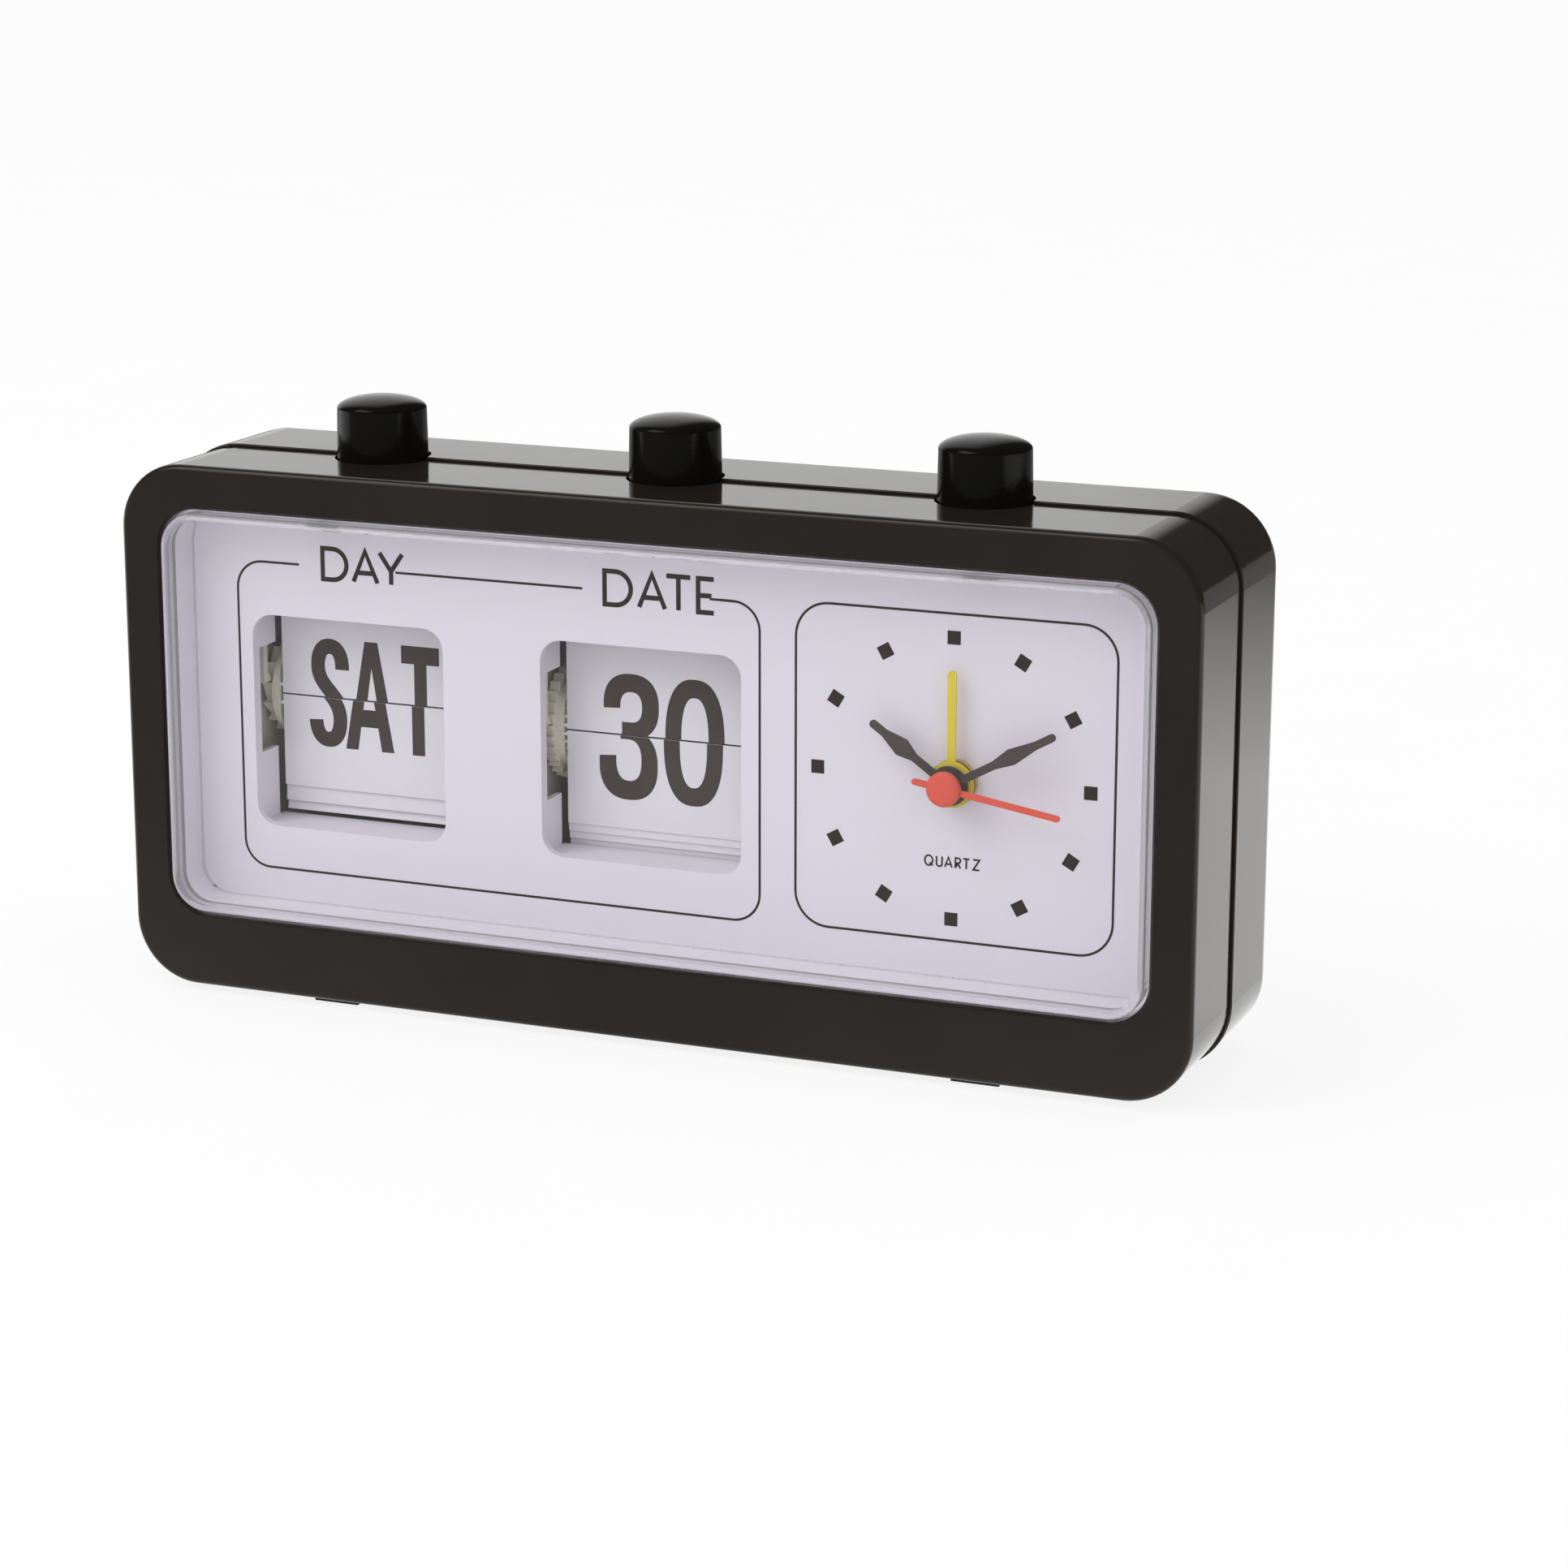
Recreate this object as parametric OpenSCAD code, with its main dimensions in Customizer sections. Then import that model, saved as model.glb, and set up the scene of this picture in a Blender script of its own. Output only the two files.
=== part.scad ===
// Desk clock with flip cards for the weekday and the date, and a quartz alarm dial.
// Millimetres. +X is to the right, the front faces -Y, +Z is up, and the feet stand on z = 0.

/* [Case] */
// Width of the case
body_w = 200; // [190:1:230]
// Height of the case without feet and buttons
body_h = 95.5; // [94:0.5:110]
// Depth of the case without the rear knobs
body_d = 46; // [45:0.5:60]
// Depth of the front half, from the bezel to the seam
seam_depth = 21.7; // [20:0.1:24]
// Wall thickness of the case
wall = 1.8; // [1.2:0.1:2]
// Thickness of the bezel
bezel_t = 2.5; // [2:0.1:3]
// Corner radius of the case seen from the front
corner_r = 12; // [9:0.5:16]
// Rounding of the front edge
front_edge_r = 1.2; // [0.4:0.1:2]
// Rounding of the rear edge
rear_edge_r = 5.5; // [3:0.5:7]
// Width of the groove that marks the seam
seam_groove = 0.6; // [0.2:0.1:1]
// Height by which the rear case stands proud of the front case
rear_step = 0.5; // [0.2:0.1:0.7]
// Rounding of the front edge of the rear case
rear_lead_r = 0.3; // [0.1:0.1:0.5]
// Height of the rubber feet
foot_h = 1.3; // [0.8:0.1:4]
// Width of a foot
foot_w = 8.6; // [6:0.1:14]
// Depth of a foot
foot_d = 6; // [4:0.5:8]
// Distance between the feet across the case, as a part of its width
foot_part = 0.61; // [0.5:0.01:0.7]

/* [Window and panel] */
// Border at each side of the bezel opening
open_side = 7.7; // [7.2:0.1:9]
// Border above the bezel opening
open_top = 7.8; // [7.2:0.1:9]
// Border below the bezel opening
open_border = 13.5; // [13:0.1:15]
// Corner radius of the bezel opening
open_r = 7.2; // [6:0.1:9]
// Bevel around the bezel opening
open_bevel = 0.5; // [0.2:0.1:1]
// Gap between the lens and the opening
lens_gap = 0.6; // [0.35:0.05:0.8]
// Thickness of the lens
lens_t = 1.3; // [1:0.1:1.6]
// Distance of the lens face in front of the bezel face
lens_proud = 1.5; // [0.5:0.1:2]
// Rounding of the lens edge
lens_edge_r = 1.6; // [0.8:0.1:2]
// Lip of the lens behind the bezel
lens_lip = 0.8; // [0.4:0.1:1]
// Distance of the panel face behind the bezel face
panel_depth = 9.5; // [9:0.1:10]
// Thickness of the panel
panel_t = 1.5; // [1:0.1:1.8]
// Width of a card window
win_w = 38; // [37:0.1:39]
// Drop of the middle of the card windows below the middle of the opening
win_drop = 2.2; // [2:0.05:3]
// Height of a card window
win_h = 38.9; // [38:0.1:41]
// Corner radius of a card window
win_r = 4; // [2:0.5:6]
// Wall thickness of the returns behind a card window
return_t = 1; // [0.8:0.1:1.2]
// Depth of the side returns
return_d = 0.8; // [0.5:0.1:3.7]
// Depth of the ledge below the cards
ledge_d = 7.5; // [4:0.1:7.6]
// Further depth of the ledge below the day cards
day_ledge = 0.7; // [0:0.1:0.8]

/* [Buttons] */
// Diameter of a button
button_d = 16.4; // [14:0.1:18]
// Height of a button above the case
button_rise = 11.2; // [8:0.1:14]
// Height of the dome on a button
button_dome = 2.3; // [1:0.1:3]
// Loss of diameter from the foot of a button to its rim
button_taper = 0.5; // [0:0.1:1]
// Radial gap between a button and its hole
button_gap = 0.4; // [0.3:0.05:0.8]
// Diameter of a button stem
stem_d = 5; // [4:0.1:6]
// Radial play of a stem in the guide rail
stem_play = 0.1; // [0.05:0.01:0.1]
// Thickness of the guide rail
rail_t = 2; // [1.5:0.1:2.2]
// Mean diameter of a return spring
spring_d = 9; // [8:0.1:11]
// Wire diameter of a return spring
spring_wire = 0.8; // [0.6:0.1:1]
// Turns of a return spring
spring_turns = 5; // [4:1:6]
// Travel of the alarm button
alarm_travel = 2; // [1:0.1:2.2]

/* [Cards] */
// Number of weekday cards
day_cards = 14; // [14]
// Number of date cards
date_cards = 31; // [31]
// Distance of the day window to the left of the middle, as a part of the case width
day_part = 0.3; // [0.295:0.001:0.305]
// Distance of the date window to the left of the middle, as a part of the case width
date_part = 0.0155; // [0.012:0.0005:0.022]
// Height of the day split line above the middle of the window
day_rise = 3; // [2.6:0.1:3.4]
// Height of the date split line above the middle of the window
date_rise = 1.4; // [1:0.1:1.8]
// Width of a card
card_w = 36.2; // [34:0.1:36.4]
// Thickness of a card
card_t = 0.15; // [0.1:0.01:0.16]
// Length of a card from the split line to its free edge
card_l = 17; // [14:0.1:17.2]
// Distance of the front cards behind the panel face
card_depth = 9; // [9:0.1:9.2]
// Radius of the circle of card pins
pin_circle_r = 7.5; // [7.2:0.1:7.6]
// Diameter of a card pin
pin_d = 0.6; // [0.5:0.05:0.7]
// Radial play of a card pin in its flange
pin_play = 0.05; // [0.03:0.01:0.08]
// Gap between the split line and the root of a card
split_gap = 0.15; // [0.1:0.01:0.2]
// Tip radius of the day ratchet
day_ratchet_r = 8.6; // [8:0.1:8.8]
// Tip radius of the date ratchet
date_ratchet_r = 10.4; // [10:0.1:10.8]
// Thickness of a ratchet wheel
ratchet_t = 2; // [1.6:0.1:2.2]
// Diameter of a drum axle
axle_d = 2.4; // [2:0.1:3]
// Radial play of a drum on its axle
axle_play = 0.06; // [0.03:0.01:0.1]
// Thickness of a bracket plate
bracket_t = 1.6; // [1.2:0.1:1.8]

/* [Dial and movement] */
// Distance of the dial to the right of the middle, as a part of the case width
dial_part = 0.275; // [0.269:0.001:0.281]
// Drop of the middle of the dial below the middle of the opening
dial_drop = 0.9; // [0.5:0.05:1.5]
// Side of the square movement
mov_w = 50; // [48:0.5:52]
// Depth of the movement behind the panel
mov_d = 14; // [13.5:0.1:15]
// Wall thickness of the movement
mov_t = 1.2; // [1:0.1:1.4]
// Length of the hour hand
hour_l = 17.2; // [14:0.1:19]
// Length of the minute hand
minute_l = 21.7; // [18:0.1:23]
// Length of the second hand
second_l = 20.7; // [18:0.1:23]
// Length of the alarm hand
alarm_l = 19.5; // [16:0.1:22]
// Thickness of a hand
hand_t = 0.4; // [0.3:0.05:0.5]
// Play between the nested hand pipes
pipe_play = 0.05; // [0.03:0.01:0.06]
// Distance from the dial axis to the setting shafts
set_dist = 12; // [11.9:0.05:12.4]
// Diameter of a setting knob
knob_d = 10; // [8:0.1:12]
// Height of a setting knob behind the case
knob_out = 2.5; // [2:0.1:4]
// Radial gap between a knob and its hole
knob_gap = 0.5; // [0.3:0.1:0.8]
// Diameter of a setting shaft
shaft_d = 2; // [1.6:0.1:2.4]

/* [Battery] */
// Diameter of the round cell
cell_d = 14.2; // [13.8:0.1:14.5]
// Length of the round cell with its cap
cell_l = 50; // [49:0.1:50.5]
// Gap around the battery door
door_gap = 0.3; // [0.2:0.05:0.5]
// Thickness of the battery holder
holder_t = 1.2; // [1:0.1:1.5]

/* [Hidden] */
$fn = 64;
eps = 0.01;
clear = 0.3;
// How far a cutting shape reaches past the face it cuts
over = 1;
// Sides of the smallest round pieces
fine_fn = 24;

// Places that follow from the sizes
z0 = foot_h;
z_top = z0 + body_h;
z_mid = z0 + body_h / 2;
y_front = lens_proud - (lens_proud + body_d + knob_out) / 2;
y_rear = y_front + body_d;
y_seam = y_front + seam_depth;
y_back_in = y_rear - wall;
open_w = body_w - 2 * open_side;
open_h = body_h - open_border - open_top;
open_z = z0 + open_border + open_h / 2;
y_lens = y_front - lens_proud;
lens_w = open_w - 2 * lens_gap;
lens_h = open_h - 2 * lens_gap;
lens_r = open_r - lens_gap;
y_lip = y_front + bezel_t;
lip_t = 1.2;
y_panel = y_front + panel_depth;
y_panel_back = y_panel + panel_t;
y_card = y_panel + card_depth;
win_z = open_z - win_drop;
day_x = -day_part * body_w;
date_x = -date_part * body_w;
dial_x = dial_part * body_w;
dial_zc = open_z - dial_drop;

// Places of the feet from the front and from the rear
foot_span = foot_part * body_w;
foot_front = 6.6;
foot_rear = 10;

// Rim that stands on the panel round the lens, with two notches in its upper run
rim_t = 1;
rim_notch = 6.5;
rim_gap = 0.3;
notch_x = foot_span / 2;

// Room between the deep returns, the cards and the ratchet
return_short = 0.8;
return_gap = 1.1;

// Fixing posts at the corners of the case
boss_d = 4.6;
post_d = 6.4;
post_bore = 4.8;
post_floor = 3;
screw_d = 2.2;
screw_hole = 2.5;
screw_head_d = 4.2;
screw_head_t = 1.6;
screw_l = 9;
boss_inset = 10;
boss_rise = 7;
boss_drop = 4.5;
slot_l = 2.6;
slot_w = 0.6;
slot_depth = 0.7;
boss_x = body_w / 2 - boss_inset;
boss_low = z0 + boss_rise;
boss_high = z_top - boss_drop;
boss_spots = [for (x = [-boss_x, boss_x]) for (z = [boss_low, boss_high]) [x, z]];

// Buttons, their springs and the rail that guides them
card_button_shift = 1.4;
alarm_button_shift = 0.1;
day_button_x = day_x + card_button_shift;
date_button_x = date_x + card_button_shift;
alarm_button_x = dial_x + alarm_button_shift;
button_hole_d = button_d + 2 * button_gap;
dome_fn = 96;
button_flange_t = 1.2;
flange_lap = 1.2;
button_flange_d = button_hole_d + 2 * flange_lap;
flange_gap = 0.1;
z_flange = z_top - wall - flange_gap - button_flange_t;
switch_w = 8;
switch_d = 6;
switch_h = 1.6;
switch_gap = 0.2;
rail_behind = 6;
rail_end = 10;
rail_leg = 3;
rail_leg_t = 1.5;
stem_below = 4.6;
alarm_stem_below = 0.2;
spring_play = 0.05;
rail_z = dial_zc + mov_w / 2 + switch_h + switch_gap + alarm_travel + alarm_stem_below;
rail_d = y_seam + rail_behind - y_panel_back;
stem_end = rail_z - stem_below;
alarm_stem_end = rail_z - alarm_stem_below;
spring_l = z_flange - rail_z - rail_t;
arm_t = 3;
collar = 1.5;

// Drums: pitch angles, axes and places along X
day_pitch = 360 / day_cards;
date_pitch = 360 / date_cards;
day_axis_z = win_z + day_rise;
date_axis_z = win_z + date_rise;
function axis_y(pitch) = y_card + pin_circle_r * cos(pitch / 2);
pin_l = 1.4;
pin_start = 0.3;
flange_t = 1.2;
flange_rim = 1.1;
flange_space = 0.5;
flange_r = pin_circle_r + flange_rim;
flange_x = card_w / 2 + flange_space;
hub_d = 8;
ratchet_x = flange_x + flange_t;
bracket_gap = 1;
bracket_x = ratchet_x + ratchet_t + bracket_gap;
bracket_far_x = flange_x + flange_t + bracket_gap;
bracket_reach = 6;
bracket_up = 19;
bar_drop = 24.5;
bar_t = 2;
bar_d = 20;
axle_over = 1.2;
tooth_max = 1.5;
tooth_part = 0.45;
ear = 0.9;
pocket_d = wall / 2;
pocket_h = 16;
pocket_over = 1;
lean_step = 0.3;
lean_from = 271;
pawl_gap = 0.35;
pawl_t = 1.4;
pawl_w = 1.1;
pawl_inset = 0.25;
pawl_lip = 0.15;
pawl_slope = 0.4;

// Movement: wheel trains and nested pipes, radii from the middle outward
arbor_r = 0.5;
minute_pipe_r = 1.1;
hour_pipe_r = 1.75;
alarm_pipe_r = 2.45;
bush_r = 3.6;
bush_front = 1.4;
nut_d = 8;
nut_t = 1.2;
bush_play = 0.1;
bush_lap = 0.2;
shaft_play = 0.05;
mov_r = 3;
y_mov = y_panel_back;
y_mov_back = y_mov + mov_d;
wheel_t = 0.8;
plate_gap = 0.4;
alarm_step = 1.4;
hour_step = 1.5;
centre_step = 1.7;
third_step = 1.6;
y_alarm_wheel = y_mov + mov_t + plate_gap;
y_hour_wheel = y_alarm_wheel + alarm_step;
y_centre_pinion = y_hour_wheel + hour_step;
y_centre_wheel = y_centre_pinion + centre_step;
y_second_pinion = y_centre_wheel + third_step;
y_second_wheel = y_second_pinion + centre_step;
pinion_t = 1.1;
time_angle = -35;
alarm_angle = 215;
third_dist = 10.2;
time_pos = [set_dist * cos(time_angle), set_dist * sin(time_angle)];
alarm_pos = [set_dist * cos(alarm_angle), set_dist * sin(alarm_angle)];
motion_teeth = 36;
centre_pinion_teeth = 12;
hour_teeth = 48;
motion_pinion_teeth = 12;
motion_module = 2 * set_dist / (motion_teeth + centre_pinion_teeth);
hour_module = 2 * set_dist / (hour_teeth + motion_pinion_teeth);
third_teeth = 60;
third_pinion_teeth = 8;
centre_teeth = 64;
second_pinion_teeth = 8;
second_teeth = 30;
third_module = 2 * third_dist / (third_teeth + second_pinion_teeth);
centre_module = 2 * third_dist / (centre_teeth + third_pinion_teeth);
third_pin_r = 0.4;
third_pin_over = 0.2;
arbor_short = 0.3;
shaft_short = 0.2;

// Electric parts of the movement
board_t = 1;
board_h = 12;
board_edge = 15.5;
board_low = mov_w / 2 - board_edge;
board_gap = 0.5;
board_hole = 3;
crystal_d = 2;
crystal_l = 6;
crystal_x = 10;
crystal_rise = 8.5;
crystal_z = board_low + crystal_rise;
motor_edge = 5;
motor_drop = mov_w / 2 - motor_edge;
motor_back = 3.4;
winding_r = 2.2;
winding_l = 24;
cheek_r = 2.9;
cheek_t = 1.5;
stator_w = 3;
stator_d = 6;
stator_h = 5;
buzzer_d = 16;
buzzer_t = 5;
buzzer_x = 4;
buzzer_rise = 13;

// Hands: how far each lies in front of the panel, and the angle it shows, clockwise from twelve
alarm_front = 2;
hour_front = 3.2;
minute_front = 4.4;
second_front = 5.6;
alarm_angle_shown = 0;
hour_angle_shown = 305;
minute_angle_shown = 61;
second_angle_shown = 99;
alarm_hub_r = 4;
hour_hub_r = 3.4;
minute_hub_r = 2.8;
second_hub_r = 3;
alarm_bar = 1.5;
second_bar = 1.1;
second_tail = 5.8;
leaf_stem = 1.4;
hour_bulge = 3.3;
minute_bulge = 2.8;
stem_part = 0.44;
bulge_part = 0.6;
taper_part = 0.82;

// Setting knobs
grooves = 16;
groove_d = 0.9;
groove_start = 0.6;
knob_in = 1;

// Battery, its holder and the door
cell_shift = 4;
cell_x = dial_x - cell_shift;
cell_play = 0.5;
contact_room = 5;
holder_w = cell_l + 2 * holder_t + contact_room;
holder_h = cell_d + 2 * holder_t + 2 * cell_play;
contact_t = 0.5;
contact_h = 10;
contact_short = 1;
dimple_d = 6;
cell_gap = 0.05;
cap_l = 1.2;
cap_d = 5;
door_lap = 1;
door_rise = 1.2;
door_floor = 0.8;
door_r = 2;
door_w = holder_w + 2 * door_lap;
door_h = holder_h - 2 * door_lap;
holder_z = z0 + rear_edge_r + door_rise + door_h / 2;
door_ledge = 1;
door_t = wall - door_floor;
grip_step = 2.4;
grip_w = 1;
grip_l = 8;
grip_depth = 0.3;

// Rounded rectangle
module round_rect(w, h, r) {
    square([w - 2 * r, h], center = true);
    square([w, h - 2 * r], center = true);
    for (x = [-1, 1])
        for (y = [-1, 1])
            translate([x * (w / 2 - r), y * (h / 2 - r)])
                circle(r);
}

// Carries a profile round a rounded rectangle. The profile's x counts outward from the corner centres.
module around(w, h, r) {
    for (i = [0 : 3]) {
        a = (i % 2 == 0) ? w : h;
        b = (i % 2 == 0) ? h : w;
        rotate(90 * i) {
            translate([a / 2 - r, b / 2 - r, 0])
                rotate_extrude(angle = 90)
                    children();
            translate([a / 2 - r, b / 2 - r, 0])
                rotate([90, 0, 0])
                    linear_extrude(b - 2 * r)
                        children();
        }
    }
}

// Rounded box along local Z whose far edge is rounded, and its near edge if near is set
module soft_box(w, h, r, d, edge, near = 0) {
    around(w, h, r)
        union() {
            translate([0, near])
                square([r, d - edge - near]);
            square([r - max(edge, near), d]);
            translate([r - edge, d - edge])
                circle(edge);
            if (near > 0) {
                square([r - near, near + eps]);
                translate([r - near, near])
                    circle(near);
            }
        }
    translate([r - w / 2, r - h / 2, 0])
        cube([w - 2 * r, h - 2 * r, d]);
}

module plain_box(w, h, r, d) {
    linear_extrude(d)
        round_rect(w, h, r);
}

// Points local Z to the front or to the rear, with local Y up or down
module facing_front(y, x = 0, z = z_mid) {
    translate([x, y, z])
        rotate([90, 0, 0])
            children();
}

module facing_rear(y, x = 0, z = z_mid) {
    translate([x, y, z])
        rotate([-90, 0, 0])
            children();
}

// Cylinder along Y from y0 to y1
module rod_y(d, x, z, y0, y1) {
    facing_rear(y0, x, z)
        cylinder(d = d, h = y1 - y0);
}

// Cylinder along X from x0 to x1
module rod_x(d, y, z, x0, x1) {
    translate([x0, y, z])
        rotate([0, 90, 0])
            cylinder(d = d, h = x1 - x0);
}

module button_holes() {
    for (x = [day_button_x, date_button_x, alarm_button_x])
        translate([x, y_seam, z_top - wall - over])
            cylinder(d = button_hole_d, h = wall + 2 * over);
}

// Space inside the case walls, less a margin
module inside(margin, y0, y1) {
    facing_rear(y0)
        plain_box(body_w - 2 * (wall + margin), body_h - 2 * (wall + margin), corner_r - wall - margin,
            y1 - y0);
}

module front_case() {
    color("#2b2724") {
        difference() {
            facing_front(y_seam - seam_groove)
                soft_box(body_w, body_h, corner_r, seam_depth - seam_groove, front_edge_r);
            inside(0, y_lip, y_seam + over);
            facing_front(y_lip + over, 0, open_z)
                plain_box(open_w, open_h, open_r, bezel_t + 2 * over);
            facing_front(y_front, 0, open_z)
                around(open_w, open_h, open_r)
                    polygon([[open_r - over, -open_bevel - over], [open_r - over, over],
                        [open_r + open_bevel + over, over], [open_r, -open_bevel]]);
            button_holes();
        }
        difference() {
            facing_front(y_seam)
                linear_extrude(seam_groove + over)
                    difference() {
                        round_rect(body_w - 2 * seam_groove, body_h - 2 * seam_groove,
                            corner_r - seam_groove);
                        round_rect(body_w - 2 * wall, body_h - 2 * wall, corner_r - wall);
                    }
            button_holes();
        }
        for (p = boss_spots)
            difference() {
                rod_y(boss_d, p[0], p[1], y_lip - eps, y_panel);
                rod_y(screw_d, p[0], p[1], y_lip + over, y_panel + over);
            }
    }
}

// Pocket in the rear wall that gives room to the tips of the cards
module card_pocket(drum_x, axis_z) {
    width = card_w + 2 * pocket_over;
    translate([drum_x - width / 2, y_back_in - over, axis_z - pocket_h / 2])
        cube([width, pocket_d + over, pocket_h]);
}

module rear_case() {
    color("#232120") {
        difference() {
            facing_rear(y_seam)
                soft_box(body_w + 2 * rear_step, body_h + 2 * rear_step, corner_r + rear_step,
                    y_rear - y_seam, rear_edge_r, rear_lead_r);
            facing_rear(y_seam - over)
                soft_box(body_w - 2 * wall, body_h - 2 * wall, corner_r - wall, y_back_in - y_seam + over,
                    rear_edge_r - wall);
            button_holes();
            for (p = boss_spots)
                rod_y(post_bore, p[0], p[1], y_back_in - over, y_rear + over);
            for (p = [time_pos, alarm_pos])
                rod_y(knob_d + 2 * knob_gap, dial_x + p[0], dial_zc + p[1], y_back_in - over, y_rear + over);
            facing_rear(y_rear - door_t, cell_x, holder_z)
                plain_box(door_w + 2 * door_gap, door_h + 2 * door_gap, door_r, wall + over);
            facing_rear(y_back_in - over, cell_x, holder_z)
                plain_box(door_w - 2 * door_ledge, door_h - 2 * door_ledge, door_r - door_ledge,
                    wall + 2 * over);
            card_pocket(day_x, day_axis_z);
            card_pocket(date_x, date_axis_z);
        }
        for (p = boss_spots)
            intersection() {
                difference() {
                    rod_y(post_d, p[0], p[1], y_panel_back, y_back_in + eps);
                    rod_y(post_bore, p[0], p[1], y_panel_back + post_floor, y_rear + over);
                    rod_y(screw_hole, p[0], p[1], y_panel_back - over, y_rear);
                }
                inside(clear, y_panel_back, y_back_in + eps);
            }
    }
}

module battery_door() {
    color("#232120")
        difference() {
            facing_rear(y_rear - door_t, cell_x, holder_z)
                plain_box(door_w, door_h, door_r, door_t);
            for (i = [-2 : 2])
                translate([cell_x + i * grip_step - grip_w / 2, y_rear - grip_depth, holder_z - grip_l / 2])
                    cube([grip_w, grip_depth + over, grip_l]);
        }
}

module lens() {
    color("#dfe6ea", 0.3)
        difference() {
            union() {
                facing_front(y_panel, 0, open_z)
                    soft_box(lens_w, lens_h, lens_r, y_panel - y_lens, lens_edge_r);
                facing_front(y_lip + lip_t, 0, open_z)
                    plain_box(open_w + 2 * lens_lip, open_h + 2 * lens_lip, open_r + lens_lip, lip_t);
            }
            facing_front(y_panel + over, 0, open_z)
                plain_box(lens_w - 2 * lens_t, lens_h - 2 * lens_t, lens_r - lens_t,
                    y_panel - y_lens - lens_t + over);
        }
}

// Rim round the lens, left out at the fixing posts and at the notches
module panel_rim() {
    gap = lens_gap - rim_gap;
    depth = y_panel - y_lip - lip_t - clear;
    difference() {
        facing_front(y_panel + eps, 0, open_z)
            linear_extrude(depth + eps)
                difference() {
                    round_rect(open_w - 2 * (gap - rim_t), open_h - 2 * (gap - rim_t), open_r - gap + rim_t);
                    round_rect(open_w - 2 * gap, open_h - 2 * gap, open_r - gap);
                }
        for (p = boss_spots)
            rod_y(boss_d + 2 * clear, p[0], p[1], y_lip, y_panel);
        for (s = [-1, 1])
            translate([s * notch_x - rim_notch / 2, y_lip, open_z])
                cube([rim_notch, y_panel - y_lip, open_h]);
    }
}

// Walls that run back from the sides and the bottom of a card window, deeper above and below the ratchet
module window_returns(x, axis_z, tip_r, ledge) {
    z = win_z - win_h / 2 - return_t;
    top = z + win_h;
    deep = card_depth - panel_t - return_short;
    for (s = [-1, 1])
        translate([x + s * (win_w + return_t) / 2 - return_t / 2, y_panel_back - eps, 0]) {
            translate([0, 0, z])
                cube([return_t, return_d + eps, win_h]);
            translate([0, 0, z])
                cube([return_t, deep + eps, axis_z - tip_r - return_gap - z]);
            translate([0, 0, axis_z + tip_r + return_gap])
                cube([return_t, deep + eps, top - axis_z - tip_r - return_gap]);
        }
    translate([x - win_w / 2, y_panel_back - eps, z])
        cube([win_w, ledge + eps, return_t]);
}

module dial_panel() {
    color("#e6e1ea") {
        difference() {
            facing_rear(y_panel)
                plain_box(body_w - 2 * (wall + clear), body_h - 2 * (wall + clear), corner_r - wall - clear,
                    panel_t);
            for (x = [day_x, date_x])
                facing_rear(y_panel - over, x, win_z)
                    plain_box(win_w, win_h, win_r, panel_t + 2 * over);
            rod_y(2 * (bush_r + bush_play), dial_x, dial_zc, y_panel - over, y_panel_back + over);
            for (p = boss_spots)
                rod_y(screw_hole, p[0], p[1], y_panel - over, y_panel_back + over);
        }
        window_returns(day_x, day_axis_z, day_ratchet_r, ledge_d + day_ledge);
        window_returns(date_x, date_axis_z, date_ratchet_r, ledge_d);
        panel_rim();
    }
}

module case_screws() {
    y = y_panel_back + post_floor;
    color("#b9bcc0")
        for (p = boss_spots) {
            rod_y(screw_d, p[0], p[1], y - screw_l, y + eps);
            difference() {
                rod_y(screw_head_d, p[0], p[1], y, y + screw_head_t);
                for (a = [0, 90])
                    translate([p[0], y + screw_head_t, p[1]])
                        rotate([0, a, 0])
                            cube([slot_l, 2 * slot_depth, slot_w], center = true);
            }
        }
}

module feet() {
    color("#1b1b1b")
        for (x = [-1, 1])
            translate([x * foot_span / 2 - foot_w / 2, -foot_d / 2, 0]) {
                translate([0, y_front + foot_front, 0])
                    cube([foot_w, foot_d, foot_h]);
                translate([0, y_rear - foot_rear, 0])
                    cube([foot_w, foot_d, foot_h - rear_step]);
            }
}

module guide_rail() {
    color("#efe9d6")
        difference() {
            union() {
                translate([day_button_x - rail_end, y_panel_back, rail_z])
                    cube([alarm_button_x - day_button_x + 2 * rail_end, rail_d, rail_t]);
                translate([day_button_x - rail_end, y_panel_back, rail_z - rail_leg])
                    cube([alarm_button_x - day_button_x + 2 * rail_end, rail_leg_t, rail_leg + eps]);
            }
            for (x = [day_button_x, date_button_x, alarm_button_x])
                translate([x, y_seam, rail_z - over])
                    cylinder(d = stem_d + 2 * stem_play, h = rail_t + 2 * over);
        }
}

module push_button(x, end_z) {
    rim_r = (button_d - button_taper) / 2;
    rim_z = z_top + button_rise - button_dome;
    translate([x, y_seam, 0]) {
        rotate_extrude()
            union() {
                polygon([[0, z_flange], [button_d / 2, z_flange], [rim_r, rim_z], [0, rim_z]]);
                intersection() {
                    translate([0, rim_z])
                        scale([rim_r, button_dome])
                            circle(1, $fn = dome_fn);
                    translate([0, rim_z - eps])
                        square([rim_r, button_dome + 2 * eps]);
                }
            }
        translate([0, 0, z_flange])
            cylinder(d = button_flange_d, h = button_flange_t);
        translate([0, 0, end_z])
            cylinder(d = stem_d, h = z_flange - end_z + eps);
    }
}

module day_button() {
    color("#1d1b1a")
        push_button(day_button_x, stem_end);
}

module date_button() {
    color("#1d1b1a")
        push_button(date_button_x, stem_end);
}

module alarm_button() {
    color("#1d1b1a")
        push_button(alarm_button_x, alarm_stem_end);
}

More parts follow.
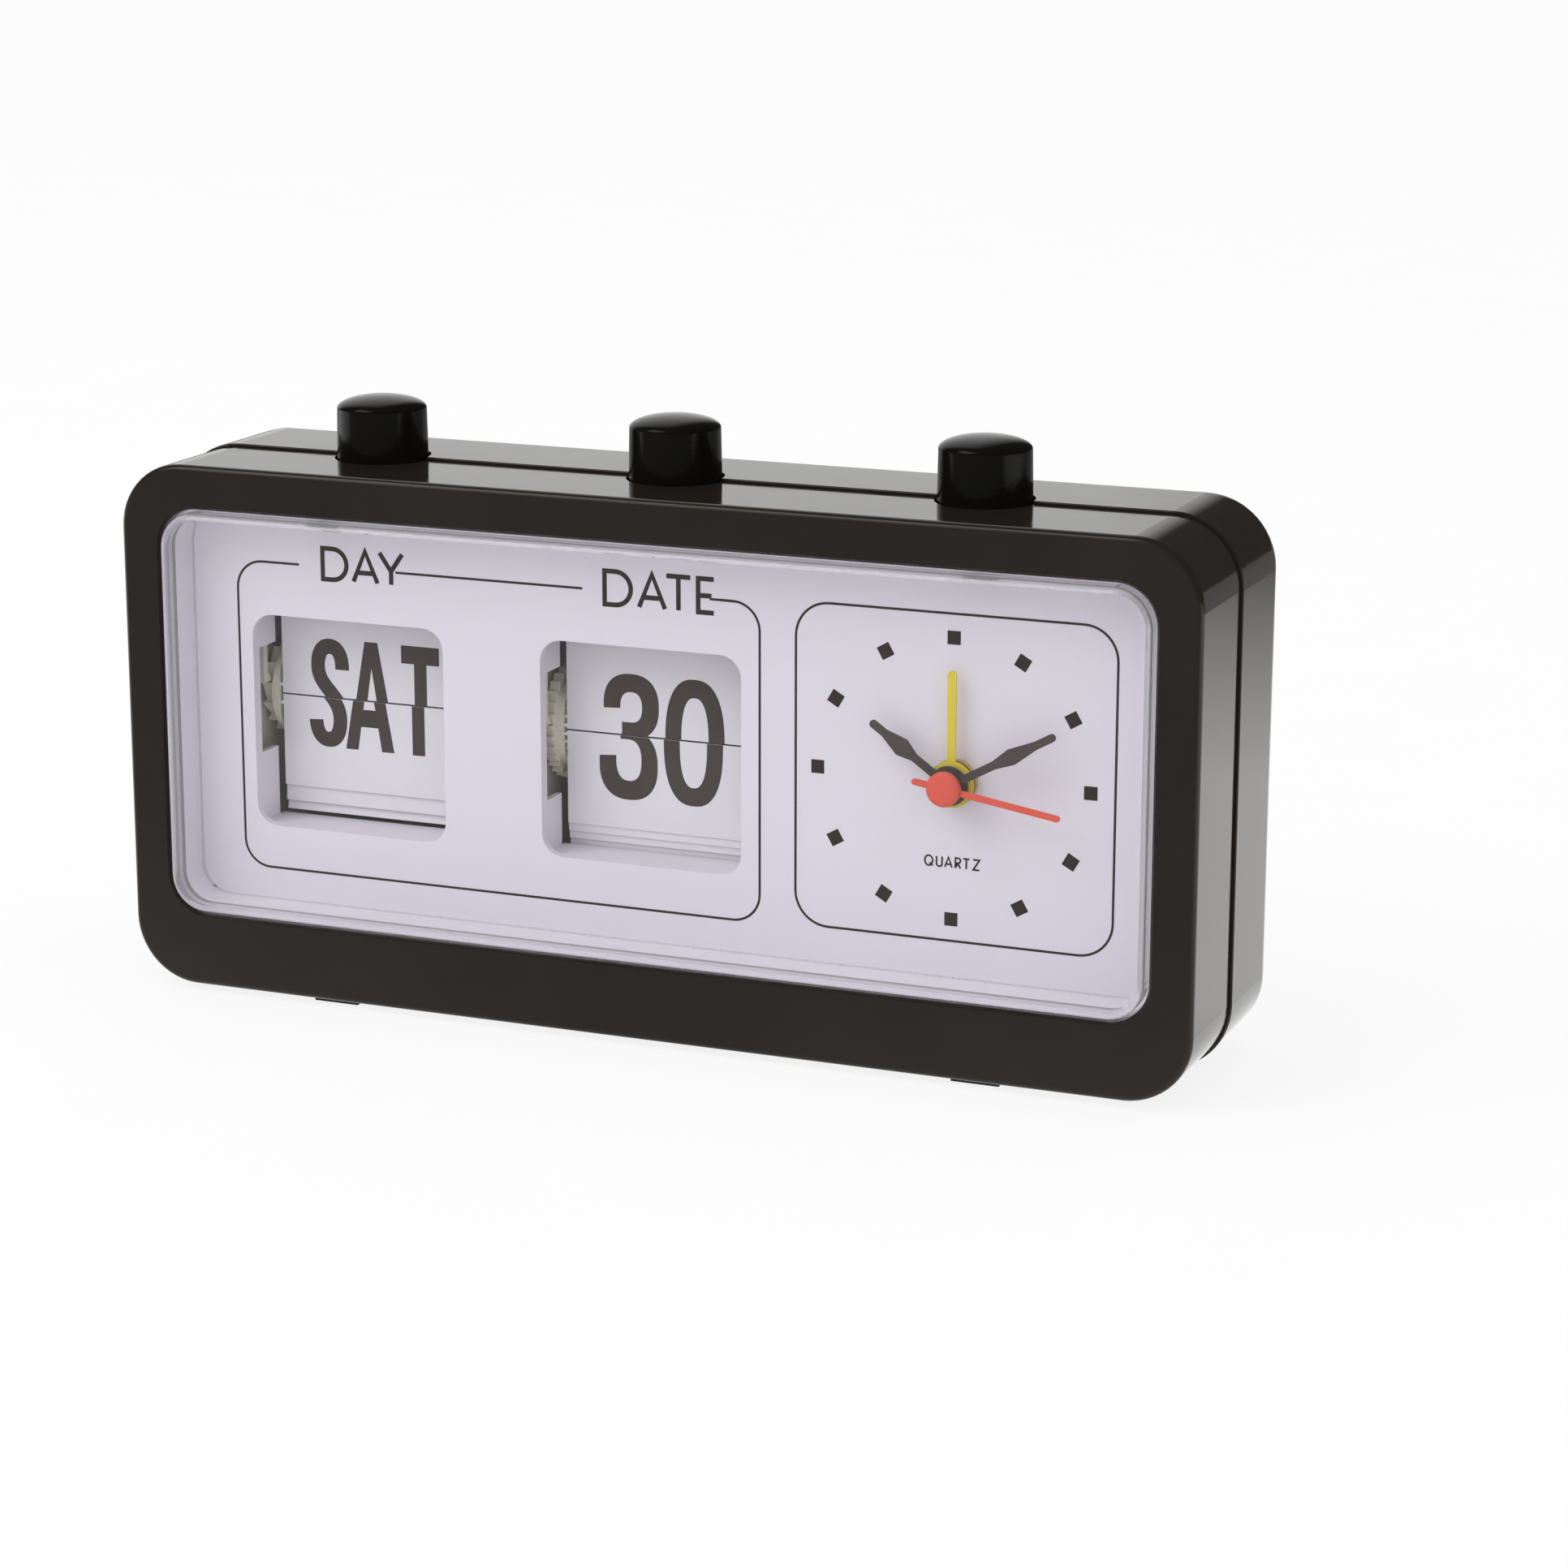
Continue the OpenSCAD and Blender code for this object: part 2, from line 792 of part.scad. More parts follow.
// Coil spring as one swept tube that stands on the guide rail
module coil(x) {
    sides = 6;
    steps = 16;
    rings = spring_turns * steps;
    r = spring_wire / 2;
    rise = spring_l - 2 * (r + spring_play);
    points = [
        for (i = [0 : rings])
            for (k = [0 : sides - 1])
                let (
                    a = 360 * spring_turns * i / rings,
                    q = 360 * k / sides,
                    d = spring_d / 2 + r * cos(q)
                )
                [d * cos(a), d * sin(a), rail_z + rail_t + spring_play + r + rise * i / rings + r * sin(q)]
    ];
    walls = [
        for (i = [0 : rings - 1])
            for (k = [0 : sides - 1])
                let (n = (k + 1) % sides, b = i * sides, t = b + sides)
                each [[b + k, t + k, t + n], [b + k, t + n, b + n]]
    ];
    ends = [
        for (k = [1 : sides - 2])
            each [[0, k, k + 1], [rings * sides, rings * sides + k + 1, rings * sides + k]]
    ];
    translate([x, y_seam, 0])
        polyhedron(points, concat(walls, ends));
}

module day_spring() {
    color("#c4c7ca")
        coil(day_button_x);
}

module date_spring() {
    color("#c4c7ca")
        coil(date_button_x);
}

module alarm_spring() {
    color("#c4c7ca")
        coil(alarm_button_x);
}

// Arm on a button stem with a finger that pushes the front of a ratchet wheel down
module pawl(button_x, drum_x, axis_z, pitch, tip_r) {
    depth = tooth_depth(tip_r, pitch);
    wheel_x = drum_x - ratchet_x - ratchet_t / 2;
    ya = axis_y(pitch);
    y_bar = ya - tip_r - pawl_gap - pawl_t;
    z_tip = axis_z + tip_r * sin(pitch / 2) + pawl_gap;
    reach = pawl_gap + depth - pawl_inset;
    difference() {
        union() {
            translate([wheel_x - pawl_w / 2, y_seam - stem_d / 2 - collar, stem_end])
                cube([button_x - wheel_x + pawl_w / 2 + stem_d / 2 + collar, stem_d + 2 * collar, arm_t]);
            translate([wheel_x - pawl_w / 2, y_bar, stem_end])
                cube([pawl_w, y_seam - y_bar, arm_t]);
            translate([wheel_x - pawl_w / 2, y_bar, z_tip])
                cube([pawl_w, pawl_t, stem_end + arm_t - z_tip]);
            translate([wheel_x - pawl_w / 2, y_bar + pawl_t, z_tip])
                rotate([90, 0, 90])
                    linear_extrude(pawl_w)
                        polygon([[-eps, 0], [reach, 0], [reach, pawl_lip], [-eps, depth + pawl_slope]]);
        }
        translate([button_x, y_seam, stem_end - over])
            cylinder(d = stem_d, h = arm_t + 2 * over);
    }
}

module day_pawl() {
    color("#efe9d6")
        pawl(day_button_x, day_x, day_axis_z, day_pitch, day_ratchet_r);
}

module date_pawl() {
    color("#efe9d6")
        pawl(date_button_x, date_x, date_axis_z, date_pitch, date_ratchet_r);
}

function tooth_depth(tip_r, pitch) = min(tooth_max, tip_r * pitch * PI / 180 * tooth_part);

// Saw-tooth outline: x points to the front and y up, and each steep flank faces up at the front
function ratchet_points(tip_r, pitch, count) = [
    for (i = [0 : count - 1])
        let (a = (i + 0.5) * pitch, root = tip_r - tooth_depth(tip_r, pitch))
        each [[root * cos(a - pitch), root * sin(a - pitch)], [tip_r * cos(a), tip_r * sin(a)]]
];

module ratchet(drum_x, axis_z, pitch, count, tip_r) {
    translate([drum_x - ratchet_x, axis_y(pitch), axis_z])
        rotate([90, 0, -90])
            difference() {
                linear_extrude(ratchet_t)
                    polygon(ratchet_points(tip_r, pitch, count));
                translate([0, 0, -over])
                    cylinder(d = axle_d + 2 * axle_play, h = ratchet_t + 2 * over);
            }
}

module day_ratchet() {
    color("#efe9d6")
        ratchet(day_x, day_axis_z, day_pitch, day_cards, day_ratchet_r);
}

module date_ratchet() {
    color("#efe9d6")
        ratchet(date_x, date_axis_z, date_pitch, date_cards, date_ratchet_r);
}

// Hub with two flanges, each with a ring of holes for the card pins
module drum(drum_x, axis_z, pitch, count) {
    translate([drum_x, axis_y(pitch), axis_z])
        rotate([90, 0, -90])
            difference() {
                union() {
                    translate([0, 0, -flange_x])
                        cylinder(d = hub_d, h = 2 * flange_x);
                    for (z = [-flange_x - flange_t, flange_x])
                        translate([0, 0, z])
                            cylinder(r = flange_r, h = flange_t);
                }
                translate([0, 0, -flange_x - flange_t - over])
                    cylinder(d = axle_d + 2 * axle_play, h = 2 * (flange_x + flange_t + over));
                for (i = [0 : count - 1])
                    rotate((i + 0.5) * pitch)
                        translate([pin_circle_r, 0, 0])
                            for (z = [-flange_x - flange_t - over, flange_x - over])
                                translate([0, 0, z])
                                    cylinder(d = pin_d + 2 * pin_play, h = flange_t + 2 * over,
                                        $fn = fine_fn);
            }
}

module day_drum() {
    color("#efe9d6")
        drum(day_x, day_axis_z, day_pitch, day_cards);
}

module date_drum() {
    color("#efe9d6")
        drum(date_x, date_axis_z, date_pitch, date_cards);
}

module axle(drum_x, axis_z, pitch) {
    color("#b9bcc0")
        rod_x(axle_d, axis_y(pitch), axis_z, drum_x - bracket_x - bracket_t - axle_over,
            drum_x + bracket_far_x + bracket_t + axle_over);
}

module day_axle() {
    axle(day_x, day_axis_z, day_pitch);
}

module date_axle() {
    axle(date_x, date_axis_z, date_pitch);
}

// Two end plates that stand on the back of the panel, tied by a floor below the cards
module bracket(drum_x, axis_z, pitch) {
    ya = axis_y(pitch);
    x_left = drum_x - bracket_x - bracket_t;
    x_right = drum_x + bracket_far_x;
    difference() {
        union() {
            for (x = [x_left, x_right])
                translate([x, y_panel_back, axis_z - bar_drop - bar_t])
                    cube([bracket_t, ya + bracket_reach - y_panel_back, bar_drop + bar_t + bracket_up]);
            translate([x_left, y_panel_back, axis_z - bar_drop - bar_t])
                cube([x_right + bracket_t - x_left, bar_d, bar_t]);
        }
        rod_x(axle_d, ya, axis_z, x_left - over, x_right + bracket_t + over);
    }
}

module day_bracket() {
    color("#d9d4c4")
        bracket(day_x, day_axis_z, day_pitch);
}

module date_bracket() {
    color("#d9d4c4")
        bracket(date_x, date_axis_z, date_pitch);
}

// One card in the drum's frame: x to the front, y up. The card points along dir from its pin.
module card(pin_angle, dir, pitch) {
    tail = pin_circle_r * sin(pitch / 2) - split_gap;
    reach = card_l - pin_circle_r * sin(pitch / 2);
    rotate(pin_angle)
        translate([pin_circle_r, 0, 0])
            rotate(dir - pin_angle) {
                translate([-tail, -card_t / 2, -card_w / 2])
                    cube([tail + reach, card_t, card_w]);
                translate([-pin_d / 2, -card_t / 2, -card_w / 2 - ear])
                    cube([pin_d, card_t, card_w + 2 * ear]);
                for (s = [0, 1])
                    mirror([0, 0, s])
                        translate([0, 0, card_w / 2 + pin_start])
                            cylinder(d = pin_d, h = pin_l, $fn = fine_fn);
            }
}

// Lean of a card that hangs from the lower front, so that its tip rests just behind the card before it
function card_lean(i, pitch) =
    let (
        a = (i + 0.5) * pitch,
        back = pin_circle_r * (cos(pitch / 2) - cos(a)) - lean_step * ((360 - a) / pitch - 0.5),
        reach = card_l - pin_circle_r * sin(pitch / 2)
    )
    a > lean_from ? asin(max(0, back) / reach) : 0;

// Cards lie along the drum over the top and hang down from the back round to the front
module card_place(drum_x, axis_z, pitch, i) {
    translate([drum_x, axis_y(pitch), axis_z])
        rotate([90, 0, -90])
            card((i + 0.5) * pitch, min(90 + i * pitch, 270) + card_lean(i, pitch), pitch);
}

module day_cards_pack() {
    color("#f4f2f4")
        for (i = [1 : day_cards - 1])
            card_place(day_x, day_axis_z, day_pitch, i);
}

module date_cards_pack() {
    color("#f4f2f4")
        for (i = [1 : date_cards - 1])
            card_place(date_x, date_axis_z, date_pitch, i);
}

module day_falling_card() {
    color("#f4f2f4")
        card_place(day_x, day_axis_z, day_pitch, 0);
}

module date_falling_card() {
    color("#f4f2f4")
        card_place(date_x, date_axis_z, date_pitch, 0);
}

// Movement places: local x to the right, local z up, from the middle of the dial
module at_dial(y, p = [0, 0]) {
    facing_front(y, dial_x + p[0], dial_zc + p[1])
        children();
}

// Ring along Y round the dial axis
module ring_y(r_out, r_in, y0, y1, p = [0, 0]) {
    at_dial(y1, p)
        difference() {
            cylinder(r = r_out, h = y1 - y0);
            translate([0, 0, -over])
                cylinder(r = r_in, h = y1 - y0 + 2 * over);
        }
}

// Toothed wheel with straight-sided teeth and play between the flanks
module gear(teeth, m, t, bore_r, turn = 0) {
    r = teeth * m / 2;
    step = 360 / teeth;
    half_tip = 0.11 * step;
    half_root = 0.25 * step;
    tip = r + 0.75 * m;
    root = r - 1.2 * m;
    difference() {
        rotate(turn)
            linear_extrude(t)
                polygon([
                    for (i = [0 : teeth - 1])
                        each [
                            root * [cos(i * step - half_root), sin(i * step - half_root)],
                            tip * [cos(i * step - half_tip), sin(i * step - half_tip)],
                            tip * [cos(i * step + half_tip), sin(i * step + half_tip)],
                            root * [cos(i * step + half_root), sin(i * step + half_root)]
                        ]
                ]);
        if (bore_r > 0)
            translate([0, 0, -over])
                cylinder(r = bore_r, h = t + 2 * over);
    }
}

// Turn that puts a tooth of a wheel, or a gap, towards a partner at the given angle
function tooth_at(angle) = angle;
function gap_at(angle, teeth) = angle + 180 / teeth;

module movement_plate() {
    color("#d8d8da") {
        difference() {
            facing_rear(y_mov, dial_x, dial_zc)
                plain_box(mov_w, mov_w, mov_r, mov_t);
            rod_y(2 * (bush_r - bush_lap), dial_x, dial_zc, y_mov - over, y_mov + mov_t + over);
            for (p = [time_pos, alarm_pos])
                rod_y(shaft_d + 2 * shaft_play, dial_x + p[0], dial_zc + p[1], y_mov - over,
                    y_mov + mov_t + over);
        }
        ring_y(bush_r, alarm_pipe_r + pipe_play, y_panel - bush_front, y_mov + mov_t);
    }
}

module movement_cover() {
    color("#2a2a2c") {
        difference() {
            facing_rear(y_mov + mov_t, dial_x, dial_zc)
                plain_box(mov_w, mov_w, mov_r, mov_d - mov_t);
            facing_rear(y_mov + mov_t - over, dial_x, dial_zc)
                plain_box(mov_w - 2 * mov_t, mov_w - 2 * mov_t, mov_r - mov_t, mov_d - 2 * mov_t + over);
            rod_y(2 * (arbor_r + pipe_play), dial_x, dial_zc, y_mov, y_mov_back + over);
            for (p = [time_pos, alarm_pos])
                rod_y(shaft_d + 2 * shaft_play, dial_x + p[0], dial_zc + p[1], y_mov, y_mov_back + over);
        }
        rod_y(2 * third_pin_r, dial_x, dial_zc + third_dist, y_centre_wheel - third_pin_over,
            y_mov_back - mov_t + third_pin_over);
    }
}

module movement_nut() {
    color("#c9a94a")
        at_dial(y_panel)
            difference() {
                cylinder(d = nut_d, h = nut_t);
                translate([0, 0, -over])
                    cylinder(r = bush_r, h = nut_t + 2 * over);
            }
}

module circuit_board() {
    board_w = mov_w - 2 * (mov_t + board_gap);
    color("#2f6b46")
        difference() {
            translate([dial_x - board_w / 2, y_mov_back - mov_t - board_t, dial_zc + board_low])
                cube([board_w, board_t, board_h]);
            rod_y(board_hole, dial_x, dial_zc + third_dist, y_mov, y_mov_back);
        }
}

module quartz_crystal() {
    color("#c8ccd0")
        rod_x(crystal_d, y_mov_back - mov_t - board_t - crystal_d / 2, dial_zc + crystal_z,
            dial_x + crystal_x, dial_x + crystal_x + crystal_l);
}

// Wound bobbin held between the two stator posts
module motor_coil() {
    y = y_mov_back - mov_t - motor_back;
    z = dial_zc - motor_drop;
    x0 = dial_x - winding_l / 2;
    x1 = dial_x + winding_l / 2;
    color("#b5653a") {
        rod_x(2 * winding_r, y, z, x0, x1);
        rod_x(2 * cheek_r, y, z, x0, x0 + cheek_t);
        rod_x(2 * cheek_r, y, z, x1 - cheek_t, x1);
    }
}

module motor_stator() {
    color("#9a9da1")
        for (x = [-winding_l / 2 - stator_w, winding_l / 2])
            translate([dial_x + x, y_mov_back - mov_t - stator_d, dial_zc - motor_drop - stator_h / 2])
                cube([stator_w, stator_d, stator_h]);
}

module second_wheel() {
    color("#d8c27a") {
        rod_y(2 * arbor_r, dial_x, dial_zc, y_panel - second_front - hand_t, y_mov_back - arbor_short);
        at_dial(y_second_pinion + pinion_t)
            gear(second_pinion_teeth, third_module, pinion_t, 0, tooth_at(90));
        at_dial(y_second_wheel + wheel_t)
            gear(second_teeth, third_module, wheel_t, 0);
    }
}

module third_wheel() {
    color("#e8e4d8")
        at_dial(y_second_pinion + pinion_t, [0, third_dist]) {
            gear(third_teeth, third_module, pinion_t, third_pin_r + pipe_play, gap_at(-90, third_teeth));
            translate([0, 0, pinion_t - eps])
                gear(third_pinion_teeth, centre_module, y_second_pinion - y_centre_wheel + eps,
                    third_pin_r + pipe_play, tooth_at(-90));
        }
}

module centre_wheel() {
    color("#e8e4d8") {
        ring_y(minute_pipe_r, arbor_r + pipe_play, y_panel - minute_front - hand_t, y_centre_wheel + wheel_t);
        at_dial(y_centre_pinion + pinion_t)
            gear(centre_pinion_teeth, motion_module, pinion_t, arbor_r + pipe_play, tooth_at(time_angle));
        at_dial(y_centre_wheel + wheel_t)
            gear(centre_teeth, centre_module, wheel_t, arbor_r + pipe_play, gap_at(90, centre_teeth));
    }
}

// Wheel and pinion fixed on the time setting shaft
module motion_wheel() {
    color("#e8e4d8") {
        at_dial(y_centre_pinion + pinion_t, time_pos)
            gear(motion_teeth, motion_module, pinion_t, shaft_d / 2, gap_at(time_angle + 180, motion_teeth));
        at_dial(y_centre_pinion, time_pos)
            gear(motion_pinion_teeth, hour_module, y_centre_pinion - y_hour_wheel, shaft_d / 2,
                tooth_at(time_angle + 180));
    }
}

module hour_wheel() {
    color("#e8e4d8") {
        ring_y(hour_pipe_r, minute_pipe_r + pipe_play, y_panel - hour_front - hand_t, y_hour_wheel + wheel_t);
        at_dial(y_hour_wheel + wheel_t)
            gear(hour_teeth, hour_module, wheel_t, minute_pipe_r + pipe_play, gap_at(time_angle, hour_teeth));
    }
}

module alarm_wheel() {
    color("#e8e4d8") {
        ring_y(alarm_pipe_r, hour_pipe_r + pipe_play, y_panel - alarm_front - hand_t,
            y_alarm_wheel + wheel_t);
        at_dial(y_alarm_wheel + wheel_t)
            gear(hour_teeth, hour_module, wheel_t, hour_pipe_r + pipe_play, gap_at(alarm_angle, hour_teeth));
    }
}

// Places a hand outline, drawn pointing up, at its height in front of the panel
module hand(front, shown, bore_r, hub_r) {
    at_dial(y_panel - front)
        difference() {
            union() {
                cylinder(r = hub_r, h = hand_t);
                rotate(-shown)
                    linear_extrude(hand_t)
                        children();
            }
            translate([0, 0, -over])
                cylinder(r = bore_r, h = hand_t + 2 * over);
        }
}

// Leaf outline: a narrow stem, a bulge past the middle and a rounded tip
module leaf(l, bulge) {
    r = leaf_stem / 2;
    side = [[r, 0], [r, stem_part * l], [bulge / 2, bulge_part * l], [r, taper_part * l], [r, l - r]];
    polygon(concat(side, [for (i = [len(side) - 1 : -1 : 0]) [-side[i][0], side[i][1]]]));
    translate([0, l - r])
        circle(r);
}

// Straight bar with rounded ends, from a tail below the hub to the tip
module bar(w, tail, l) {
    translate([-w / 2, w / 2 - tail])
        square([w, l + tail - w]);
    for (y = [w / 2 - tail, l - w / 2])
        translate([0, y])
            circle(w / 2);
}

module hour_hand() {
    color("#4a4441")
        hand(hour_front, hour_angle_shown, hour_pipe_r, hour_hub_r)
            leaf(hour_l, hour_bulge);
}

module minute_hand() {
    color("#4a4441")
        hand(minute_front, minute_angle_shown, minute_pipe_r, minute_hub_r)
            leaf(minute_l, minute_bulge);
}

module second_hand() {
    color("#d8604f")
        hand(second_front, second_angle_shown, arbor_r, second_hub_r)
            bar(second_bar, second_tail, second_l);
}

module alarm_hand() {
    color("#dccb55")
        hand(alarm_front, alarm_angle_shown, alarm_pipe_r, alarm_hub_r)
            bar(alarm_bar, 0, alarm_l);
}

// Knob on a shaft that runs through the movement
module set_knob(p) {
    x = dial_x + p[0];
    z = dial_zc + p[1];
    rod_y(shaft_d, x, z, y_mov + shaft_short, y_back_in);
    difference() {
        rod_y(knob_d, x, z, y_back_in - knob_in, y_rear + knob_out);
        for (i = [0 : grooves - 1])
            rod_y(groove_d, x + knob_d / 2 * cos(i * 360 / grooves), z + knob_d / 2 * sin(i * 360 / grooves),
                y_rear + groove_start, y_rear + knob_out + over);
    }
}

module time_set_knob() {
    color("#1d1b1a")
        set_knob(time_pos);
}

module alarm_set_knob() {
    color("#1d1b1a") {
        set_knob(alarm_pos);
        at_dial(y_alarm_wheel + wheel_t, alarm_pos)
            gear(motion_pinion_teeth, hour_module, wheel_t, 0, tooth_at(alarm_angle + 180));
    }
}

// Open tray behind the battery door
module battery_holder() {
    front = y_back_in - cell_d - cell_play - holder_t;
    low = holder_z - holder_h / 2;
    color("#2a2a2c")
        difference() {
            translate([cell_x - holder_w / 2, front, low])
                cube([holder_w, y_back_in - front, holder_h]);
            translate([cell_x - holder_w / 2 + holder_t, front + holder_t, low + holder_t])
                cube([holder_w - 2 * holder_t, cell_d + cell_play + over, holder_h - 2 * holder_t]);
        }
}

module battery() {
    y = y_back_in - cell_play - cell_d / 2;
    color("#5f7f9a") {
        rod_x(cell_d, y, holder_z, cell_x - cell_l / 2, cell_x + cell_l / 2 - cap_l);
        rod_x(cap_d, y, holder_z, cell_x + cell_l / 2 - cap_l - eps, cell_x + cell_l / 2);
    }
}

module contact_plus() {
    color("#c8ccd0")
        translate([cell_x + holder_w / 2 - holder_t - contact_t, y_back_in - cell_d,
            holder_z - contact_h / 2])
            cube([contact_t, cell_d - contact_short, contact_h]);
}

// Plate with a raised dimple towards the cell
module contact_minus() {
    x = cell_x - holder_w / 2 + holder_t;
    y = y_back_in - cell_play - cell_d / 2;
    color("#c8ccd0") {
        translate([x, y_back_in - cell_d, holder_z - contact_h / 2])
            cube([contact_t, cell_d - contact_short, contact_h]);
        rod_x(dimple_d, y, holder_z, x + contact_t - eps, cell_x - cell_l / 2 - cell_gap);
    }
}

module alarm_switch() {
    z = dial_zc + mov_w / 2;
    color("#2a2a2c")
        translate([alarm_button_x - switch_w / 2, y_seam - switch_d / 2, z])
            cube([switch_w, switch_d, switch_h]);
}

module buzzer() {
    color("#1b1b1b")
        rod_y(buzzer_d, buzzer_x, z0 + wall + buzzer_rise, y_back_in - buzzer_t, y_back_in);
}

front_case();
rear_case();
battery_door();
lens();
dial_panel();
case_screws();
feet();
guide_rail();
day_button();
date_button();
alarm_button();
day_spring();
date_spring();
alarm_spring();
day_pawl();
date_pawl();
day_ratchet();
date_ratchet();
day_drum();
date_drum();
day_axle();
date_axle();
day_bracket();
date_bracket();
day_cards_pack();
date_cards_pack();
day_falling_card();
date_falling_card();
movement_plate();
movement_cover();
movement_nut();
circuit_board();
quartz_crystal();
motor_coil();
motor_stator();
second_wheel();
third_wheel();
centre_wheel();
motion_wheel();
hour_wheel();
alarm_wheel();
hour_hand();
minute_hand();
second_hand();
alarm_hand();
time_set_knob();
alarm_set_knob();
battery_holder();
battery();
contact_plus();
contact_minus();
alarm_switch();
buzzer();
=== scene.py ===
"""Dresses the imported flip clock: materials, printing, lettering, springs, stage, light and camera."""

import math

import bmesh
import bpy
from mathutils import Matrix, Vector


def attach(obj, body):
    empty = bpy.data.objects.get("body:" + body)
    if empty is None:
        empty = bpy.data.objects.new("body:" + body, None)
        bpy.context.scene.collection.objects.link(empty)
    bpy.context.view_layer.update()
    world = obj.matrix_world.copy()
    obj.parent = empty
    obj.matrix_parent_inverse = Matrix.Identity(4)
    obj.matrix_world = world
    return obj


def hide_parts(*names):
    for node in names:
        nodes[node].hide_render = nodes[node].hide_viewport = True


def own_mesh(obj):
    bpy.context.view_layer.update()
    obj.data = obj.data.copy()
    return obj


MM = 0.001
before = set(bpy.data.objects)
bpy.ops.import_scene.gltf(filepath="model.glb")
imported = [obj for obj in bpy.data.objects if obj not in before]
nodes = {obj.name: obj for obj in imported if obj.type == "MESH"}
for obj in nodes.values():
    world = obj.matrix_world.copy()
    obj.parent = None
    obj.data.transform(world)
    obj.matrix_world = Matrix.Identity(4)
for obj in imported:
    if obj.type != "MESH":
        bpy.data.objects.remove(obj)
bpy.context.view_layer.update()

# Places of the clock, in millimetres
PANEL_Y = -14.0
CARD_Y = -5.0
CARD_T = 0.15
DAY_SPLIT = 52.7
DATE_SPLIT = 51.1
DAY_AXIS_Y = 2.312
DATE_AXIS_Y = 2.4615
DAY_STEP = 360 / 14
DATE_STEP = 360 / 31
DIAL_X = 55.0
DIAL_Z = 51.0

# Looks of the lens, the floor and the studio
ACRYLIC_IOR = 1.49
# Share of light let through at the lens edges, kept below one to paint a highlight along the rim
RIM_HIGHLIGHT_CLARITY = 0.82
FLOOR_GLOW = 0.86
# Weight of the sideways distance in the floor's painted reflection glow
ASIDE_SHARE = 0.45
SKY_LIGHT = 0.86
WHITE = (1.0, 1.0, 1.0, 1.0)
MIRRORED_GREY = (0.8, 0.8, 0.8, 1.0)
SHARP_ANGLE = 30


# Materials

def new_material(name):
    """A material with an empty Principled shader, its node tree and the object coordinates."""
    material = bpy.data.materials.new(name)
    material.use_nodes = True
    tree = material.node_tree
    tree.nodes.clear()
    output = tree.nodes.new("ShaderNodeOutputMaterial")
    shader = tree.nodes.new("ShaderNodeBsdfPrincipled")
    tree.links.new(shader.outputs["BSDF"], output.inputs["Surface"])
    coords = tree.nodes.new("ShaderNodeTexCoord")
    return material, tree, shader, coords


def noise(tree, coords, scale, detail=3.0):
    node = tree.nodes.new("ShaderNodeTexNoise")
    node.inputs["Scale"].default_value = scale
    node.inputs["Detail"].default_value = detail
    tree.links.new(coords.outputs["Object"], node.inputs["Vector"])
    return node.outputs["Fac"]


def remap(tree, value, low, high, start=0.3, end=0.7):
    node = tree.nodes.new("ShaderNodeMapRange")
    node.inputs["From Min"].default_value = start
    node.inputs["From Max"].default_value = end
    node.inputs["To Min"].default_value = low
    node.inputs["To Max"].default_value = high
    tree.links.new(value, node.inputs["Value"])
    return node.outputs["Result"]


def blend_colours(tree, factor, first, second):
    node = tree.nodes.new("ShaderNodeMix")
    node.data_type = "RGBA"
    tree.links.new(factor, node.inputs["Factor"])
    node.inputs[6].default_value = (*first, 1.0)
    node.inputs[7].default_value = (*second, 1.0)
    return node.outputs[2]


def tinted(colour, factor):
    return tuple(min(1.0, c * factor) for c in colour)


def math_node(tree, operation, *values):
    """Result of a math node, whose inputs are sockets or fixed numbers."""
    node = tree.nodes.new("ShaderNodeMath")
    node.operation = operation
    for socket, value in zip(node.inputs, values):
        if isinstance(value, float):
            socket.default_value = value
        else:
            tree.links.new(value, socket)
    return node.outputs["Value"]


def mix_shaders(tree, factor, first, second):
    node = tree.nodes.new("ShaderNodeMixShader")
    tree.links.new(factor, node.inputs["Fac"])
    tree.links.new(first, node.inputs[1])
    tree.links.new(second, node.inputs[2])
    return node.outputs["Shader"]


def split_axes(tree, vector):
    node = tree.nodes.new("ShaderNodeSeparateXYZ")
    tree.links.new(vector, node.inputs["Vector"])
    return node.outputs


def add_bump(tree, shader, height, distance):
    node = tree.nodes.new("ShaderNodeBump")
    node.inputs["Strength"].default_value = 1.0
    node.inputs["Distance"].default_value = distance
    tree.links.new(height, node.inputs["Height"])
    tree.links.new(node.outputs["Normal"], shader.inputs["Normal"])


def plain_material(name, colour, rough, spread=0.05, patch=60.0, grain=1500.0, depth=0.00001, metal=0.0,
                   shine=0.5):
    """Moulded, painted or metal surface: colour patches, uneven gloss and a fine grain."""
    material, tree, shader, coords = new_material(name)
    patches = remap(tree, noise(tree, coords, patch), 0.0, 1.0)
    colours = blend_colours(tree, patches, tinted(colour, 1 - spread), tinted(colour, 1 + spread))
    tree.links.new(colours, shader.inputs["Base Color"])
    gloss = remap(tree, noise(tree, coords, patch * 4), rough * 0.85, rough * 1.15)
    tree.links.new(gloss, shader.inputs["Roughness"])
    add_bump(tree, shader, noise(tree, coords, grain, 2.0), depth)
    shader.inputs["Metallic"].default_value = metal
    shader.inputs["Specular IOR Level"].default_value = shine
    return material


